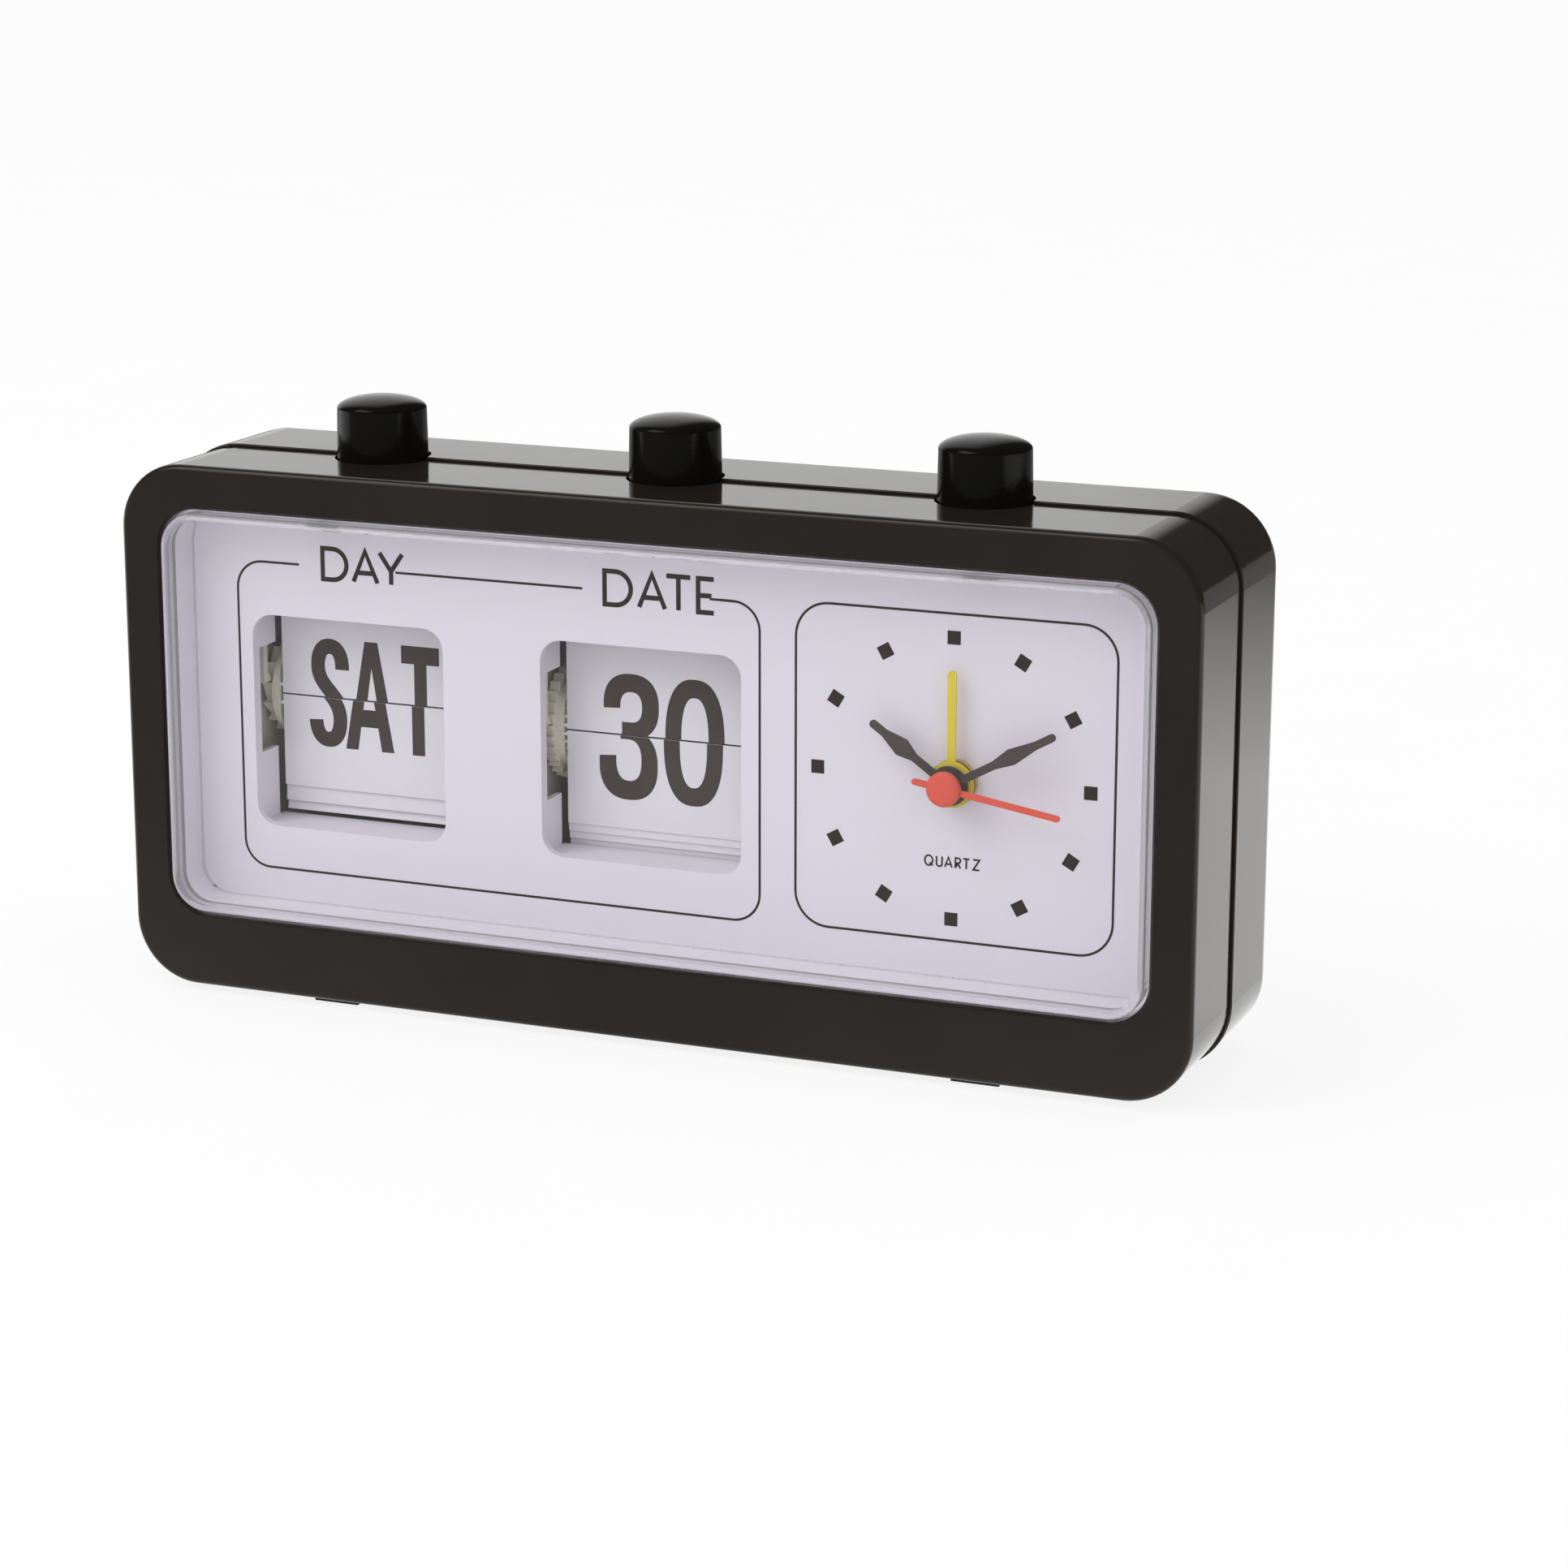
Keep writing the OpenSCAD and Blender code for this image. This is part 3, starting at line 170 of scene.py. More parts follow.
def case_material():
    """Black plastic: a fine satin texture on the front face, polished on the top, sides and back."""
    material, tree, shader, coords = new_material("case_black")
    normal = split_axes(tree, coords.outputs["Normal"])
    front = remap(tree, normal["Y"], 1.0, 0.0, -0.98, -0.8)
    patches = remap(tree, noise(tree, coords, 40.0), 0.0, 1.0)
    colours = blend_colours(tree, patches, (0.0160, 0.0124, 0.0100), (0.0200, 0.0156, 0.0126))
    tree.links.new(colours, shader.inputs["Base Color"])
    polish = remap(tree, noise(tree, coords, 160.0), 0.07, 0.13)
    satin = remap(tree, noise(tree, coords, 220.0), 0.4, 0.48)
    rough = tree.nodes.new("ShaderNodeMix")
    tree.links.new(front, rough.inputs["Factor"])
    tree.links.new(polish, rough.inputs[2])
    tree.links.new(satin, rough.inputs[3])
    tree.links.new(rough.outputs[0], shader.inputs["Roughness"])
    shader.inputs["Specular IOR Level"].default_value = 0.3
    shader.inputs["Specular Tint"].default_value = (1.0, 0.92, 0.85, 1.0)
    add_bump(tree, shader, noise(tree, coords, 2500.0, 2.0), 0.000006)
    return material


def lens_material():
    """Clear polished plastic whose rounded edges let less light through and show white, a painted highlight
    along the rim, and which lets the light through to the panel.
    """
    material, tree, shader, coords = new_material("lens_clear")
    shader.inputs["Base Color"].default_value = (0.975, 0.98, 0.985, 1.0)
    # Painted highlight: where the surface turns away from the front, the lens lets less light through and
    # shows its white base colour
    normal = split_axes(tree, coords.outputs["Normal"])
    facing = math_node(tree, "ABSOLUTE", normal["Y"])
    clarity = remap(tree, facing, RIM_HIGHLIGHT_CLARITY, 1.0, 0.7, 0.97)
    tree.links.new(clarity, shader.inputs["Transmission Weight"])
    shader.inputs["IOR"].default_value = ACRYLIC_IOR
    shader.inputs["Specular IOR Level"].default_value = 0.15
    marks = remap(tree, noise(tree, coords, 90.0, 5.0), 0.0, 0.02, 0.45, 0.75)
    tree.links.new(marks, shader.inputs["Roughness"])
    path = tree.nodes.new("ShaderNodeLightPath").outputs
    lit = math_node(tree, "MAXIMUM", path["Is Shadow Ray"], path["Is Diffuse Ray"])
    clear = tree.nodes.new("ShaderNodeBsdfTransparent")
    clear.inputs["Color"].default_value = (0.95, 0.95, 0.96, 1.0)
    surface = mix_shaders(tree, lit, shader.outputs["BSDF"], clear.outputs["BSDF"])
    tree.links.new(surface, tree.nodes["Material Output"].inputs["Surface"])
    return material


def winding_material():
    """Lacquered copper wire wound round the bobbin."""
    material, tree, shader, coords = new_material("winding_copper")
    wave = tree.nodes.new("ShaderNodeTexWave")
    wave.bands_direction = "X"
    wave.inputs["Scale"].default_value = 900.0
    wave.inputs["Distortion"].default_value = 0.6
    tree.links.new(coords.outputs["Object"], wave.inputs["Vector"])
    colours = blend_colours(tree, wave.outputs["Fac"], (0.30, 0.10, 0.035), (0.62, 0.27, 0.11))
    tree.links.new(colours, shader.inputs["Base Color"])
    tree.links.new(remap(tree, wave.outputs["Fac"], 0.25, 0.4, 0.0, 1.0), shader.inputs["Roughness"])
    add_bump(tree, shader, wave.outputs["Fac"], 0.00004)
    shader.inputs["Metallic"].default_value = 0.6
    return material


def floor_material():
    """Pale floor with the clock's soft shadow, seen as near white.

    In reflections it glows as painted light: dim in front of the clock, bright beside and behind it, and dim
    again far behind."""
    material, tree, shader, coords = new_material("floor_pale")
    speckle = remap(tree, noise(tree, coords, 25.0), 0.0, 1.0)
    colours = blend_colours(tree, speckle, (0.9, 0.9, 0.9), (0.93, 0.93, 0.93))
    tree.links.new(colours, shader.inputs["Base Color"])
    tree.links.new(remap(tree, noise(tree, coords, 50.0), 0.75, 0.85), shader.inputs["Roughness"])
    shader.inputs["Specular IOR Level"].default_value = 0.1
    path = tree.nodes.new("ShaderNodeLightPath").outputs
    seen = math_node(tree, "MAXIMUM", path["Is Camera Ray"], path["Is Transmission Ray"])
    share = math_node(tree, "MULTIPLY", seen, FLOOR_GLOW)
    glow = tree.nodes.new("ShaderNodeEmission")
    plain = mix_shaders(tree, share, shader.outputs["BSDF"], glow.outputs["Emission"])
    # Painted reflection light: for gloss rays the floor glows, brightest beside and just behind the clock
    # and fading far behind it
    place = split_axes(tree, coords.outputs["Object"])
    aside = math_node(tree, "ABSOLUTE", place["X"])
    away = math_node(tree, "MULTIPLY_ADD", aside, ASIDE_SHARE, place["Y"])
    near = remap(tree, away, 0.35, 1.5, -0.06, 0.09)
    fade = remap(tree, place["Y"], 1.0, 0.2, 0.2, 0.45)
    mirrored = tree.nodes.new("ShaderNodeEmission")
    tree.links.new(math_node(tree, "MULTIPLY", near, fade), mirrored.inputs["Strength"])
    surface = mix_shaders(tree, path["Is Glossy Ray"], plain, mirrored.outputs["Emission"])
    tree.links.new(surface, tree.nodes["Material Output"].inputs["Surface"])
    return material


CASE = case_material()
BUTTON = plain_material("button_black", (0.005, 0.0045, 0.004), 0.14, 0.1, shine=0.12)
KNOB = plain_material("knob_black", (0.014, 0.013, 0.012), 0.38, 0.1, depth=0.00002)
LENS = lens_material()
PANEL = plain_material("panel_white", (0.84, 0.795, 0.87), 0.5, 0.012, 25.0, 900.0, 0.000008)
CARD = plain_material("card_white", (0.84, 0.81, 0.86), 0.45, 0.015, 30.0, 900.0, 0.000006)
CREAM = plain_material("cream_plastic", (0.72, 0.69, 0.58), 0.42, 0.04, 70.0)
WHEEL = plain_material("wheel_plastic", (0.78, 0.76, 0.70), 0.4, 0.03, 90.0)
DARK = plain_material("dark_plastic", (0.022, 0.022, 0.024), 0.45, 0.1, 80.0, 1200.0, 0.00003)
PALE = plain_material("pale_plastic", (0.55, 0.55, 0.56), 0.45, 0.04, 80.0)
STEEL = plain_material("steel_plain", (0.62, 0.63, 0.65), 0.28, 0.06, 120.0, 2500.0, 0.000006, 1.0)
BRASS = plain_material("brass_plain", (0.72, 0.55, 0.22), 0.3, 0.06, 120.0, 2500.0, 0.000006, 1.0)
COPPER = winding_material()
BOARD = plain_material("board_green", (0.05, 0.22, 0.10), 0.35, 0.1, 150.0, 700.0, 0.00002)
INK = plain_material("ink_dark", (0.030, 0.018, 0.011), 0.5, 0.12, 120.0, 1500.0, 0.000004, shine=0.1)
CARD_INK = plain_material("card_ink", (0.068, 0.052, 0.044), 0.5, 0.1, 120.0, 1500.0, 0.000004,
                          shine=0.1)
HAND_DARK = plain_material("hand_dark", (0.078, 0.062, 0.056), 0.4, 0.08, 150.0, 1800.0, 0.000006,
                           shine=0.2)
HAND_RED = plain_material("hand_red", (0.80, 0.115, 0.075), 0.38, 0.05, 150.0, 1800.0, 0.000006,
                          shine=0.2)
HAND_YELLOW = plain_material("hand_yellow", (0.80, 0.63, 0.06), 0.38, 0.05, 150.0, 1800.0, 0.000006,
                             shine=0.2)
RUBBER = plain_material("foot_rubber", (0.012, 0.012, 0.012), 0.7, 0.15, 200.0, 900.0, 0.00004)
SLEEVE = plain_material("cell_sleeve", (0.06, 0.16, 0.26), 0.3, 0.08, 100.0)

NODE_MATERIALS = {
    CASE: ["front_case", "rear_case", "battery_door"],
    BUTTON: ["day_button", "date_button", "alarm_button"],
    KNOB: ["time_set_knob", "alarm_set_knob"],
    LENS: ["lens"],
    PANEL: ["dial_panel"],
    CARD: ["day_cards_pack", "date_cards_pack", "day_falling_card", "date_falling_card"],
    CREAM: ["guide_rail", "day_pawl", "date_pawl", "day_ratchet", "date_ratchet", "day_drum", "date_drum",
            "day_bracket", "date_bracket"],
    WHEEL: ["third_wheel", "centre_wheel", "motion_wheel", "hour_wheel", "alarm_wheel"],
    DARK: ["movement_cover", "battery_holder", "alarm_switch", "buzzer"],
    PALE: ["movement_plate"],
    STEEL: ["case_screws", "day_spring", "date_spring", "alarm_spring", "day_axle", "date_axle",
            "quartz_crystal", "motor_stator", "contact_plus", "contact_minus"],
    BRASS: ["movement_nut", "second_wheel"],
    COPPER: ["motor_coil"],
    BOARD: ["circuit_board"],
    HAND_DARK: ["hour_hand", "minute_hand"],
    HAND_RED: ["second_hand"],
    HAND_YELLOW: ["alarm_hand"],
    RUBBER: ["feet"],
    SLEEVE: ["battery"],
}
for material, names in NODE_MATERIALS.items():
    for name in names:
        nodes[name].data.materials.clear()
        nodes[name].data.materials.append(material)


# Mesh helpers

def add_piece(name, mesh, material, body):
    """Links a mesh as a piece of the clock that rides on a body."""
    mesh.materials.clear()
    mesh.materials.append(material)
    piece = bpy.data.objects.new(name, mesh)
    bpy.context.collection.objects.link(piece)
    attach(piece, body)
    return piece


def front_place(y):
    """Puts flat artwork, u to the right, v up and w to the front, on a plane that faces the front."""
    return Matrix(((MM, 0, 0, 0), (0, 0, -MM, y * MM), (0, MM, 0, 0), (0, 0, 0, 1)))


def slab_mesh(name, loops, depth):
    """Closed slab from outlines, where a loop inside another one is a hole. Its back lies at w = 0."""
    curve = bpy.data.curves.new(name, "CURVE")
    curve.dimensions = "2D"
    curve.fill_mode = "BOTH"
    curve.extrude = depth / 2
    for loop in loops:
        spline = curve.splines.new("POLY")
        spline.points.add(len(loop) - 1)
        for point, (u, v) in zip(spline.points, loop):
            point.co = (u, v, 0, 1)
        spline.use_cyclic_u = True
    holder = bpy.data.objects.new(name, curve)
    bpy.context.collection.objects.link(holder)
    shape = holder.evaluated_get(bpy.context.evaluated_depsgraph_get())
    mesh = bpy.data.meshes.new_from_object(shape)
    bpy.data.objects.remove(holder)
    bpy.data.curves.remove(curve)
    mesh.transform(Matrix.Translation((0, 0, depth / 2)))
    form = bmesh.new()
    form.from_mesh(mesh)
    bmesh.ops.remove_doubles(form, verts=form.verts, dist=depth / 10)
    form.to_mesh(mesh)
    form.free()
    return mesh


def cut_mesh(mesh, height, keep_upper):
    """Cuts a flat slab along v = height, keeps one side and closes the cut."""
    form = bmesh.new()
    form.from_mesh(mesh)
    everything = form.verts[:] + form.edges[:] + form.faces[:]
    bmesh.ops.bisect_plane(form, geom=everything, plane_co=(0, height, 0), plane_no=(0, 1, 0),
                           clear_inner=keep_upper, clear_outer=not keep_upper)
    rim = [edge for edge in form.edges if edge.is_boundary]
    bmesh.ops.holes_fill(form, edges=rim, sides=0)
    bmesh.ops.recalc_face_normals(form, faces=form.faces)
    form.to_mesh(mesh)
    form.free()


def join_meshes(name, meshes):
    form = bmesh.new()
    for mesh in meshes:
        form.from_mesh(mesh)
        bpy.data.meshes.remove(mesh)
    joined = bpy.data.meshes.new(name)
    form.to_mesh(joined)
    form.free()
    return joined


def arc(cu, cv, ru, rv, start, end, count=16, power=2.0):
    """Points on an ellipse, or on a squarer curve for a power above two, from one angle to another."""
    points = []
    for i in range(count + 1):
        a = math.radians(start + (end - start) * i / count)
        c, s = math.cos(a), math.sin(a)
        points.append((cu + ru * math.copysign(abs(c) ** (2 / power), c),
                       cv + rv * math.copysign(abs(s) ** (2 / power), s)))
    return points


def ribbon(path, width, closed=False):
    """Outline loops of a line of even width along a path."""
    left, right = [], []
    last = len(path) - 1
    for i, (u, v) in enumerate(path):
        before = path[i - 1] if i > 0 or closed else path[i]
        after = path[(i + 1) % len(path)] if i < last or closed else path[i]
        first = Vector((u - before[0], v - before[1]))
        second = Vector((after[0] - u, after[1] - v))
        if first.length < 1e-9:
            first = second
        if second.length < 1e-9:
            second = first
        first.normalize()
        second.normalize()
        along = (first + second).normalized()
        half = width / 2 / max(0.5, along.dot(second))
        left.append((u - along.y * half, v + along.x * half))
        right.append((u + along.y * half, v - along.x * half))
    if closed:
        return [left, right]
    return [left + right[::-1]]


def rounded_path(u0, v0, u1, v1, r):
    """Corner points of a rounded rectangle, anticlockwise from the end of its lower left corner."""
    return (arc(u1 - r, v0 + r, r, r, -90, 0, 10) + arc(u1 - r, v1 - r, r, r, 0, 90, 10)
            + arc(u0 + r, v1 - r, r, r, 90, 180, 10) + arc(u0 + r, v0 + r, r, r, 180, 270, 10))


# Printing on the panel

PRINT_T = 0.03
LAYER_STEP = 0.002
LINE_W = 0.42


def print_on_panel(name, groups):
    """Prints artwork on the panel, each group a list of outline loops, a little thicker than the last."""
    meshes = []
    for i, loops in enumerate(groups):
        mesh = slab_mesh(name, loops, PRINT_T + LAYER_STEP * i)
        mesh.transform(front_place(PANEL_Y))
        meshes.append(mesh)
    add_piece(name, join_meshes(name, meshes), INK, "case")


# Frame round both windows, open at the words, as lines on the panel
LEFT_U0, LEFT_U1, LEFT_V0, LEFT_V1, LEFT_R = -81.7, 19.35, 22.4, 78.75, 5.0
DAY_GAP_U0, DAY_GAP_U1 = -69.2, -50.0
DATE_GAP_U0, DATE_GAP_U1 = -13.8, 10.1
long_line = ([(DATE_GAP_U1, LEFT_V1), (LEFT_U1 - LEFT_R, LEFT_V1)]
             + arc(LEFT_U1 - LEFT_R, LEFT_V1 - LEFT_R, LEFT_R, LEFT_R, 90, 0, 10)
             + arc(LEFT_U1 - LEFT_R, LEFT_V0 + LEFT_R, LEFT_R, LEFT_R, 0, -90, 10)
             + arc(LEFT_U0 + LEFT_R, LEFT_V0 + LEFT_R, LEFT_R, LEFT_R, 270, 180, 10)
             + arc(LEFT_U0 + LEFT_R, LEFT_V1 - LEFT_R, LEFT_R, LEFT_R, 180, 90, 10)
             + [(DAY_GAP_U0, LEFT_V1)])
middle_line = [(DAY_GAP_U1, LEFT_V1), (DATE_GAP_U0, LEFT_V1)]
dial_frame = rounded_path(26.0, 23.05, 83.15, 79.75, 6.0)
print_on_panel("printed_frames", [ribbon(long_line, LINE_W), ribbon(middle_line, LINE_W),
                                  ribbon(dial_frame, LINE_W, True)])


# Hour marks: their middle, the radius that they stand on and the side of a mark
MARKS_U, MARKS_V = 54.45, 51.25
MARK_R = 24.4
MARK_SIDE = 2.35


def turned_square(angle, radius, side):
    a = math.radians(angle)
    cu, cv = MARKS_U + radius * math.sin(a), MARKS_V + radius * math.cos(a)
    points = []
    for du, dv in ((-1, -1), (1, -1), (1, 1), (-1, 1)):
        u, v = du * side / 2, dv * side / 2
        points.append((cu + u * math.cos(a) + v * math.sin(a), cv - u * math.sin(a) + v * math.cos(a)))
    return points


print_on_panel("hour_marks", [[turned_square(30 * hour, MARK_R, MARK_SIDE)] for hour in range(12)])


# Thin lettering as single strokes in a box of given width and height

def thin_strokes(letter, w, h):
    """Stroke paths of a plain capital letter, and whether each is closed."""
    if letter == "D":
        return [([(0, 0), (0, h), *arc(w * 0.42, h / 2, w * 0.58, h / 2, 90, -90, 16)], True)]
    if letter == "A":
        return [([(0, 0), (w / 2, h), (w, 0)], False), ([(w * 0.17, h * 0.3), (w * 0.83, h * 0.3)], False)]
    if letter == "Y":
        return [([(0, h), (w / 2, h * 0.42)], False), ([(w, h), (w / 2, h * 0.42), (w / 2, 0)], False)]
    if letter == "T":
        return [([(0, h), (w, h)], False), ([(w / 2, h), (w / 2, 0)], False)]
    if letter == "E":
        return [([(w, h), (0, h), (0, 0), (w, 0)], False), ([(0, h / 2), (w * 0.85, h / 2)], False)]
    if letter == "Q":
        return [(arc(w / 2, h / 2, w / 2, h / 2, 0, 345, 24), True), ([(w * 0.6, h * 0.3), (w, 0)], False)]
    if letter == "U":
        return [([(0, h), *arc(w / 2, w / 2, w / 2, w / 2, 180, 360, 12), (w, h)], False)]
    if letter == "R":
        bowl = arc(w * 0.55, h * 0.75, w * 0.45, h * 0.25, 90, -90, 10)
        return [([(0, 0), (0, h), *bowl, (0, h / 2)], False), ([(w * 0.45, h / 2), (w, 0)], False)]
    return [([(0, h), (w, h), (0, 0), (w, 0)], False)]


def print_word(name, letters, low, high, stroke):
    """Prints thin capitals, each given as its letter, left edge and right edge."""
    groups = []
    half = stroke / 2
    for letter, left, right in letters:
        for path, closed in thin_strokes(letter, right - left - stroke, high - low - stroke):
            placed = [(left + half + u, low + half + v) for u, v in path]
            groups.append(ribbon(placed, stroke, closed))
    print_on_panel(name, groups)


WORD_STROKE = 0.85
SMALL_STROKE = 0.3
print_word("word_day", [("D", -64.85, -59.25), ("A", -58.75, -53.15), ("Y", -53.5, -48.2)],
           76.1, 82.5, WORD_STROKE)
print_word("word_date", [("D", -10.0, -4.2), ("A", -3.5, 2.2), ("T", 1.65, 6.95), ("E", 7.55, 11.3)],
           75.9, 82.6, WORD_STROKE)
print_word("word_quartz", [("Q", 49.5, 51.2), ("U", 51.6, 52.9), ("A", 53.1, 54.7), ("R", 55.0, 56.2),
                           ("T", 56.4, 57.8), ("Z", 58.2, 59.6)], 35.8, 37.85, SMALL_STROKE)


# Bold condensed lettering of the cards as outlines in millimetres

STEM = 2.5
BAR = 3.3


def bold_loops(letter, w, h):
    """Outline loops of a bold condensed letter or digit in a box of given width and height."""
    if letter == "A":
        top, apex, low, high = 1.3, 0.76 * h, 0.215 * h, 0.375 * h

        def inner(v):
            return STEM + (w / 2 - STEM) * v / apex

        outer = [(0, 0), (STEM, 0), (inner(low), low), (w - inner(low), low), (w - STEM, 0), (w, 0),
                 (w / 2 + top, h), (w / 2 - top, h)]
        return [outer, [(inner(high), high), (w - inner(high), high), (w / 2, apex)]]
    if letter == "T":
        left, right = w / 2 - STEM / 2, w / 2 + STEM / 2
        return [[(left, 0), (right, 0), (right, h - BAR), (w, h - BAR), (w, h), (0, h), (0, h - BAR),
                 (left, h - BAR)]]
    if letter == "N":
        lean = 1.25 * STEM
        return [[(0, 0), (STEM, 0), (STEM, 0.55 * h), (w - lean, 0), (w, 0), (w, h), (w - STEM, h),
                 (w - STEM, 0.45 * h), (lean, h), (0, h)]]
    if letter == "U":
        outer = arc(w / 2, 0.3 * h, w / 2, 0.3 * h, 180, 360, 20, 2.3)
        inner = arc(w / 2, 0.3 * h, w / 2 - STEM, 0.3 * h - BAR, 360, 180, 20, 2.3)
        return [[(0, h)] + outer + [(w, h), (w - STEM, h)] + inner + [(STEM, h)]]
    if letter == "S":
        a, s = (w - STEM) / 2, 2.8
        up, down = h * 0.74, h * 0.265
        path = arc(w / 2, up, a, h - up - s / 2, -4, 180, 24, 2.3)
        ends = [Vector((w / 2 - a, up)), Vector((w / 2 - a, up - 0.2 * h)),
                Vector((w / 2 + a, down + 0.22 * h)), Vector((w / 2 + a, down))]
        for i in range(1, 16):
            t = i / 16
            point = (ends[0] * (1 - t) ** 3 + ends[1] * 3 * t * (1 - t) ** 2 + ends[2] * 3 * t * t * (1 - t)
                     + ends[3] * t ** 3)
            path.append((point.x, point.y))
        path += arc(w / 2, down, a, down - s / 2, 0, -176, 24, 2.3)
        return ribbon(path, s)
    if letter == "1":
        stem, flag = w - 3.1, w - 6.2
        return [[(stem, 0), (w, 0), (w, h), (w - 2.3, h), (flag, h - 3.2), (flag, h - 6.4), (stem, h - 4.6)]]
    if letter == "0":
        return [arc(w / 2, h / 2, w / 2, h / 2, 0, 350, 47, 2.5),
                arc(w / 2, h / 2, w / 2 - 3.05, h / 2 - BAR, 0, 350, 47, 2.5)]
    upper = arc(0.53 * w, 0.745 * h, 0.47 * w, 0.255 * h, 184, -56, 32, 2.4)
    lower = arc(0.505 * w, 0.282 * h, 0.497 * w, 0.282 * h, 56, -188, 32, 2.4)
    lower_in = arc(0.51 * w, 0.316 * h, 0.215 * w, 0.165 * h, -188, 90, 32, 2.4)
    upper_in = arc(0.53 * w, 0.737 * h, 0.185 * w, 0.12 * h, -90, 184, 32, 2.4)
    waist = 0.37 * w
    return [upper + lower + lower_in + [(waist, lower_in[-1][1]), (waist, upper_in[0][1])] + upper_in]


INK_T = 0.014
SPLIT_GAP = 0.16


def half_word(name, letters, low, high, split, keep_upper):
    """Flat mesh of the upper or lower half of a word on a card, in panel millimetres."""
    meshes = []
    for letter, left, right in letters:
        loops = bold_loops(letter, right - left, high - low)
        loops = [[(left + u, low + v) for u, v in loop] for loop in loops]
        meshes.append(slab_mesh(name, loops, INK_T))
    mesh = join_meshes(name, meshes)
    gap = SPLIT_GAP if keep_upper else -SPLIT_GAP
    cut_mesh(mesh, split + gap, keep_upper)
    return mesh


def about_x(angle, y, z):
    """Turn by an angle in degrees about an axis along X through a point in millimetres."""
    centre = Vector((0, y * MM, z * MM))
    turn = Matrix.Rotation(math.radians(angle), 4, "X")
    return Matrix.Translation(centre) @ turn @ Matrix.Translation(-centre)


def letter_cards(prefix, now, following, low, high, split, axis_y, step, slip):
    """Prints the shown word and the next one on the halves of the cards that carry them.

    The shown lower half sits a slip to the left of the upper one."""
    face = front_place(CARD_Y - CARD_T / 2)
    behind = about_x(180, CARD_Y, split)
    back_of_reel = about_x(-step, axis_y, split)
    halves = [("now_upper", now, True, face, prefix + "_card"),
              ("now_lower", now, False, Matrix.Translation((-slip * MM, 0, 0)) @ face, prefix + "_reel"),
              ("next_lower", following, False, behind @ face, prefix + "_card"),
              ("next_upper", following, True, back_of_reel @ face, prefix + "_reel")]
    for label, letters, keep_upper, place, body in halves:
        name = prefix + "_" + label
        mesh = half_word(name, letters, low, high, split, keep_upper)
        mesh.transform(place)
        add_piece(name, mesh, CARD_INK, body)


letter_cards("day", [("S", -72.05, -64.65), ("A", -64.85, -55.05), ("T", -53.9, -46.3)],
             [("S", -72.85, -64.25), ("U", -63.45, -55.25), ("N", -54.35, -46.25)],
             43.5, 63.6, DAY_SPLIT, DAY_AXIS_Y, DAY_STEP, 0.6)
letter_cards("date", [("3", -14.75, -3.45), ("0", -2.25, 9.05)], [("3", -14.75, -3.45), ("1", -0.25, 6.35)],
             39.4, 62.2, DATE_SPLIT, DATE_AXIS_Y, DATE_STEP, 0.3)


# Turned and wound pieces

def lathe_mesh(name, profile, count=48):
    """Closed turned form along w from points of radius and height, starting and ending on the axis."""
    form = bmesh.new()
    rings = []
    for r, w in profile:
        if r < 1e-6:
            rings.append([form.verts.new((0, 0, w))])
        else:
            rings.append([form.verts.new((r * math.cos(2 * math.pi * i / count),
                                          r * math.sin(2 * math.pi * i / count), w)) for i in range(count)])
    for low, high in zip(rings, rings[1:]):
        for i in range(count):
            k = (i + 1) % count
            corners = [low[i % len(low)], low[k % len(low)], high[k % len(high)], high[i % len(high)]]
            form.faces.new(list(dict.fromkeys(corners)))
    bmesh.ops.recalc_face_normals(form, faces=form.faces)
    mesh = bpy.data.meshes.new(name)
    form.to_mesh(mesh)
    form.free()
    for face in mesh.polygons:
        face.use_smooth = True
    return mesh


# Cap on the second hand: its radius, and how far in front of the panel it sits
CAP_R = 3.0
SECOND_FRONT = 6.0
cap_profile = [(0, 0), (CAP_R, 0), (CAP_R, 0.35), (CAP_R - 0.12, 0.6), (CAP_R - 0.45, 0.8),
               (CAP_R - 1.2, 0.92), (0, 0.98)]
cap_mesh = lathe_mesh("second_cap", cap_profile)
cap_mesh.transform(Matrix.Translation((DIAL_X * MM, 0, DIAL_Z * MM)) @ front_place(PANEL_Y - SECOND_FRONT))
add_piece("second_cap", cap_mesh, HAND_RED, "second_arbor")


def spring_mesh(name, x, y, low, high, turns, coil_r, wire_r):
    """Round wire wound into a spring with closed end turns."""
    form = bmesh.new()
    steps, sides = 36, 10
    end_share = 0.12
    total = int(turns * steps)
    rings = []
    for i in range(total + 1):
        a = 2 * math.pi * i / steps
        t = i / total
        ease = min(1.0, max(0.0, (t - end_share) / (1 - 2 * end_share)))
        z = low + wire_r + (high - low - 2 * wire_r) * ease
        ring = []
        for k in range(sides):
            q = 2 * math.pi * k / sides
            r = coil_r + wire_r * math.cos(q)
            ring.append(form.verts.new(((x + r * math.cos(a)) * MM, (y + r * math.sin(a)) * MM,
                                        (z + wire_r * math.sin(q)) * MM)))
        rings.append(ring)
    for first, second in zip(rings, rings[1:]):
        for k in range(sides):
            n = (k + 1) % sides
            form.faces.new((first[k], first[n], second[n], second[k]))
    form.faces.new(rings[0][::-1])
    form.faces.new(rings[-1])
    bmesh.ops.recalc_face_normals(form, faces=form.faces)
    mesh = bpy.data.meshes.new(name)
    form.to_mesh(mesh)
    form.free()
    for face in mesh.polygons:
        face.use_smooth = True
    return mesh


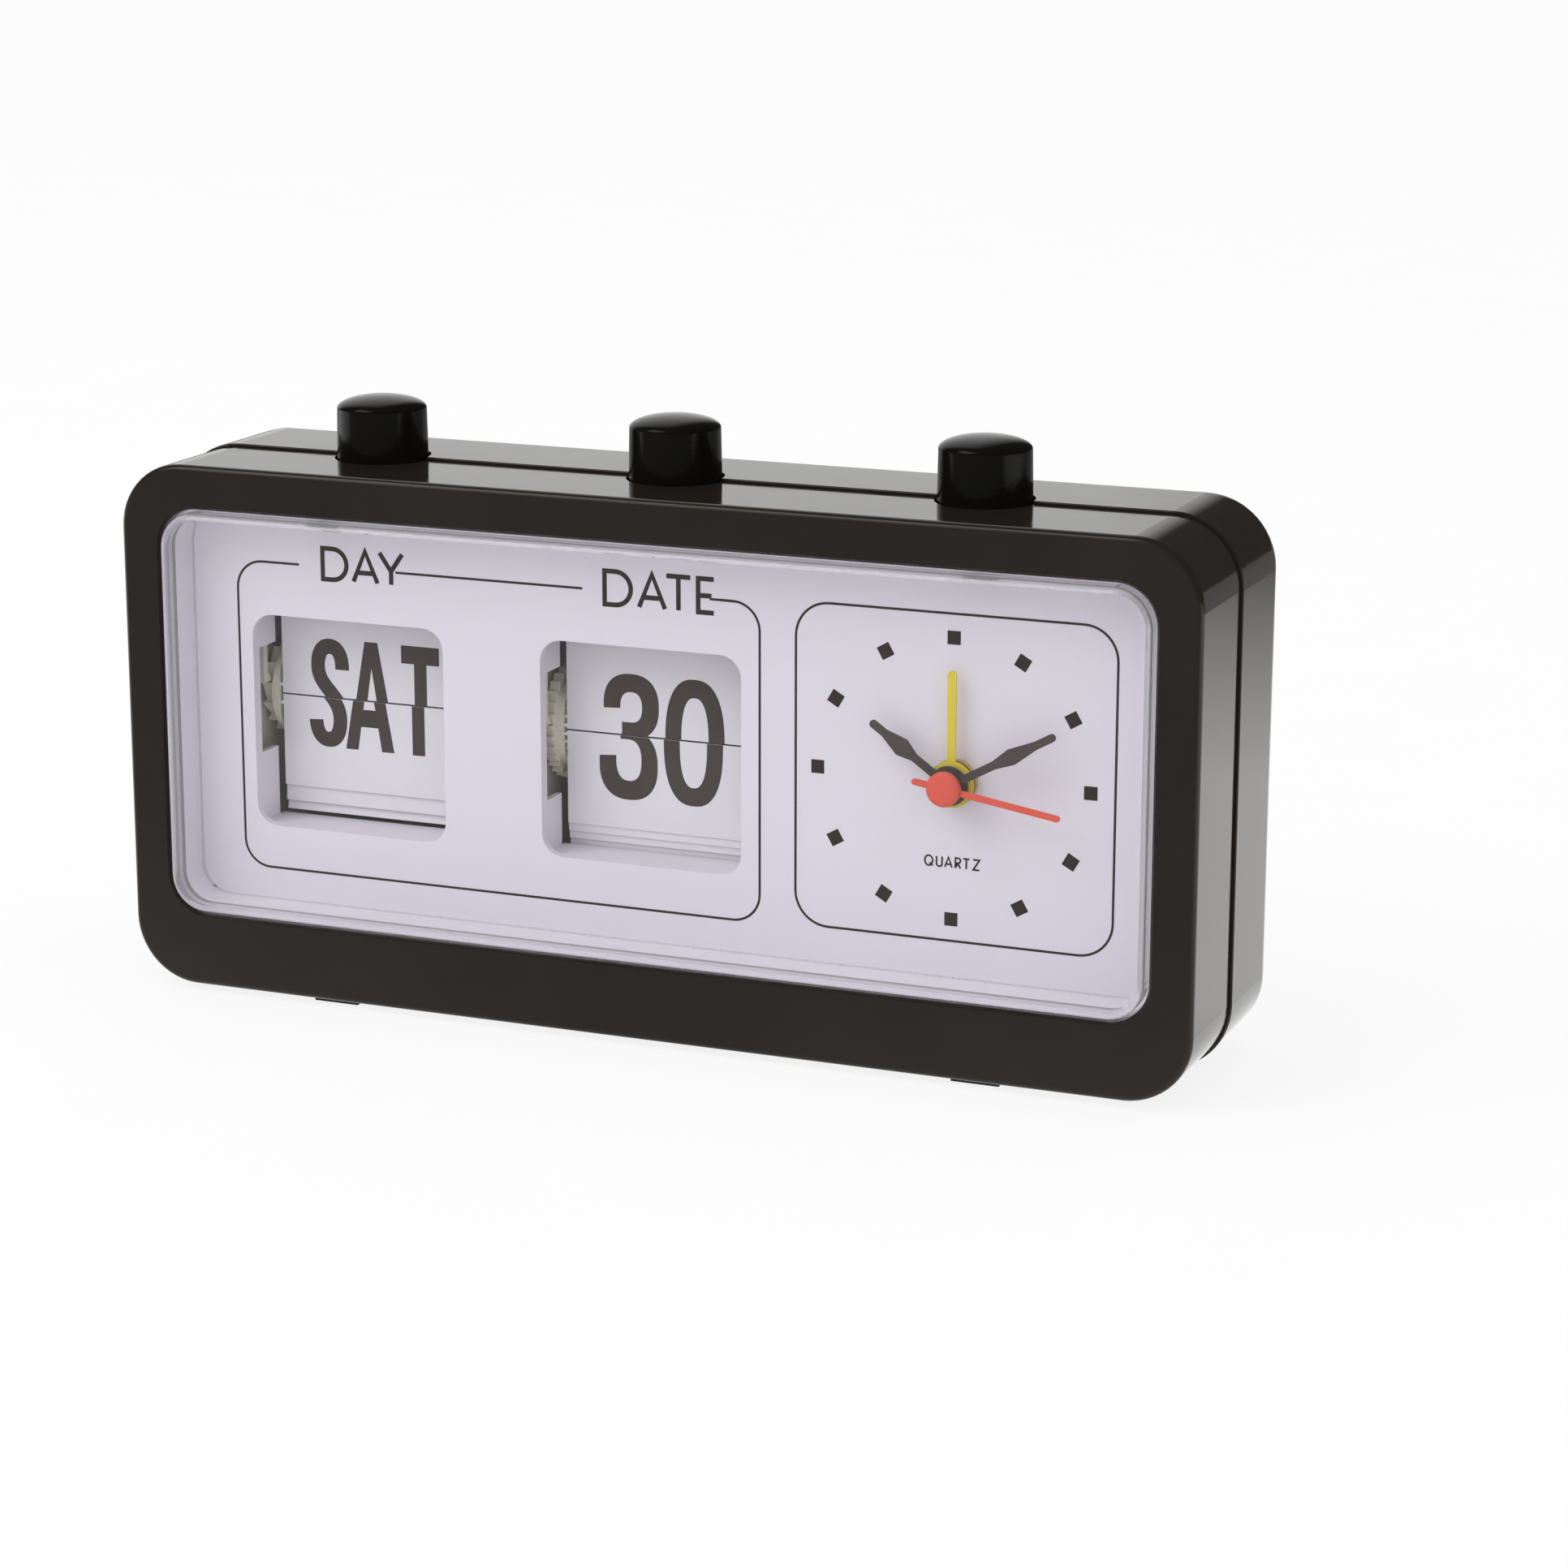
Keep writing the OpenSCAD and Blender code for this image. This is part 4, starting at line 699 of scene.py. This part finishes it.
SPRING_LOW, SPRING_HIGH = 82.05, 93.65
SPRING_TURNS = 6
COIL_R, WIRE_R = 4.5, 0.4
SEAM_Y = -1.8
for name, x, joint, travel in (("day", -58.6, "day_press", 3.86), ("date", -2.0, "date_press", 2.108),
                               ("alarm", 55.1, "alarm_press", 2.0)):
    mesh = spring_mesh(name + "_coil", x, SEAM_Y, SPRING_LOW, SPRING_HIGH, SPRING_TURNS, COIL_R, WIRE_R)
    coil = add_piece(name + "_coil", mesh, STEEL, "case")
    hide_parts(name + "_spring")
    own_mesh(coil)


# Smooth shading of the round CAD faces
for node in nodes.values():
    for face in node.data.polygons:
        face.use_smooth = True
    node.data.set_sharp_from_angle(angle=math.radians(SHARP_ANGLE))


# Stage, light and camera

FLOOR_HALF = 6.0
floor_form = bmesh.new()
bmesh.ops.create_grid(floor_form, x_segments=8, y_segments=8, size=FLOOR_HALF)
floor_mesh = bpy.data.meshes.new("floor")
floor_form.to_mesh(floor_mesh)
floor_form.free()
floor_mesh.materials.append(floor_material())
floor = bpy.data.objects.new("floor", floor_mesh)
bpy.context.collection.objects.link(floor)


def add_background(tree, colour, strength=1.0):
    node = tree.nodes.new("ShaderNodeBackground")
    node.inputs["Color"].default_value = colour
    node.inputs["Strength"].default_value = strength
    return node


world = bpy.data.worlds.new("studio")
bpy.context.scene.world = world
world.use_nodes = True
sky = world.node_tree
sky.nodes.clear()
sky_output = sky.nodes.new("ShaderNodeOutputWorld")
sky_light = add_background(sky, WHITE, SKY_LIGHT)
sky_seen = add_background(sky, WHITE)
sky_mirrored = add_background(sky, MIRRORED_GREY)
sky_path = sky.nodes.new("ShaderNodeLightPath").outputs
seen = math_node(sky, "MAXIMUM", sky_path["Is Camera Ray"], sky_path["Is Transmission Ray"])
sky_plain = mix_shaders(sky, seen, sky_light.outputs["Background"], sky_seen.outputs["Background"])
sky_all = mix_shaders(sky, sky_path["Is Glossy Ray"], sky_plain, sky_mirrored.outputs["Background"])
sky.links.new(sky_all, sky_output.inputs["Surface"])

# In gloss the studio is dark in front and at the right, and pale behind at the left
sky_side = split_axes(sky, sky.nodes.new("ShaderNodeTexCoord").outputs["Generated"])
left = remap(sky, sky_side["X"], 1.0, 0.0, -0.30, -0.12)
behind = remap(sky, sky_side["Y"], 0.0, 1.0, 0.2, 0.5)
left_behind = math_node(sky, "MULTIPLY", left, behind)
sky.links.new(remap(sky, left_behind, 0.06, 1.35, 0.0, 1.0), sky_mirrored.inputs["Strength"])

# Soft key lamp at the front left
KEY_AT = Vector((-0.9, -1.1, 1.5))
KEY_TARGET = Vector((0.0, 0.0, 0.05))
KEY_SIZE = 1.2
KEY_WATTS = 13.0
key_data = bpy.data.lights.new("key", "AREA")
key_data.shape = "RECTANGLE"
key_data.size = KEY_SIZE
key_data.size_y = KEY_SIZE
key_data.energy = KEY_WATTS
key = bpy.data.objects.new("key", key_data)
key.location = KEY_AT
key.rotation_euler = (KEY_TARGET - KEY_AT).to_track_quat("-Z", "Y").to_euler()
bpy.context.collection.objects.link(key)

# Camera at the photograph's viewing angle: its place, its turn in degrees and its lens in millimetres
CAMERA_AT = Vector((281.73, -647.06, 219.54)) * MM
CAMERA_AZ, CAMERA_EL, CAMERA_ROLL = 22.179, 14.131, 0.091
CAMERA_LENS = 94.52
SENSOR_W = 36.0
camera_data = bpy.data.cameras.new("camera")
camera_data.sensor_width = SENSOR_W
camera_data.lens = CAMERA_LENS
camera = bpy.data.objects.new("camera", camera_data)
camera.location = CAMERA_AT
camera.rotation_euler = (Matrix.Rotation(math.radians(CAMERA_AZ), 3, "Z")
                         @ Matrix.Rotation(math.radians(90 - CAMERA_EL), 3, "X")
                         @ Matrix.Rotation(math.radians(CAMERA_ROLL), 3, "Z")).to_euler()
bpy.context.collection.objects.link(camera)
bpy.context.scene.camera = camera
bpy.context.scene.view_settings.view_transform = "Standard"
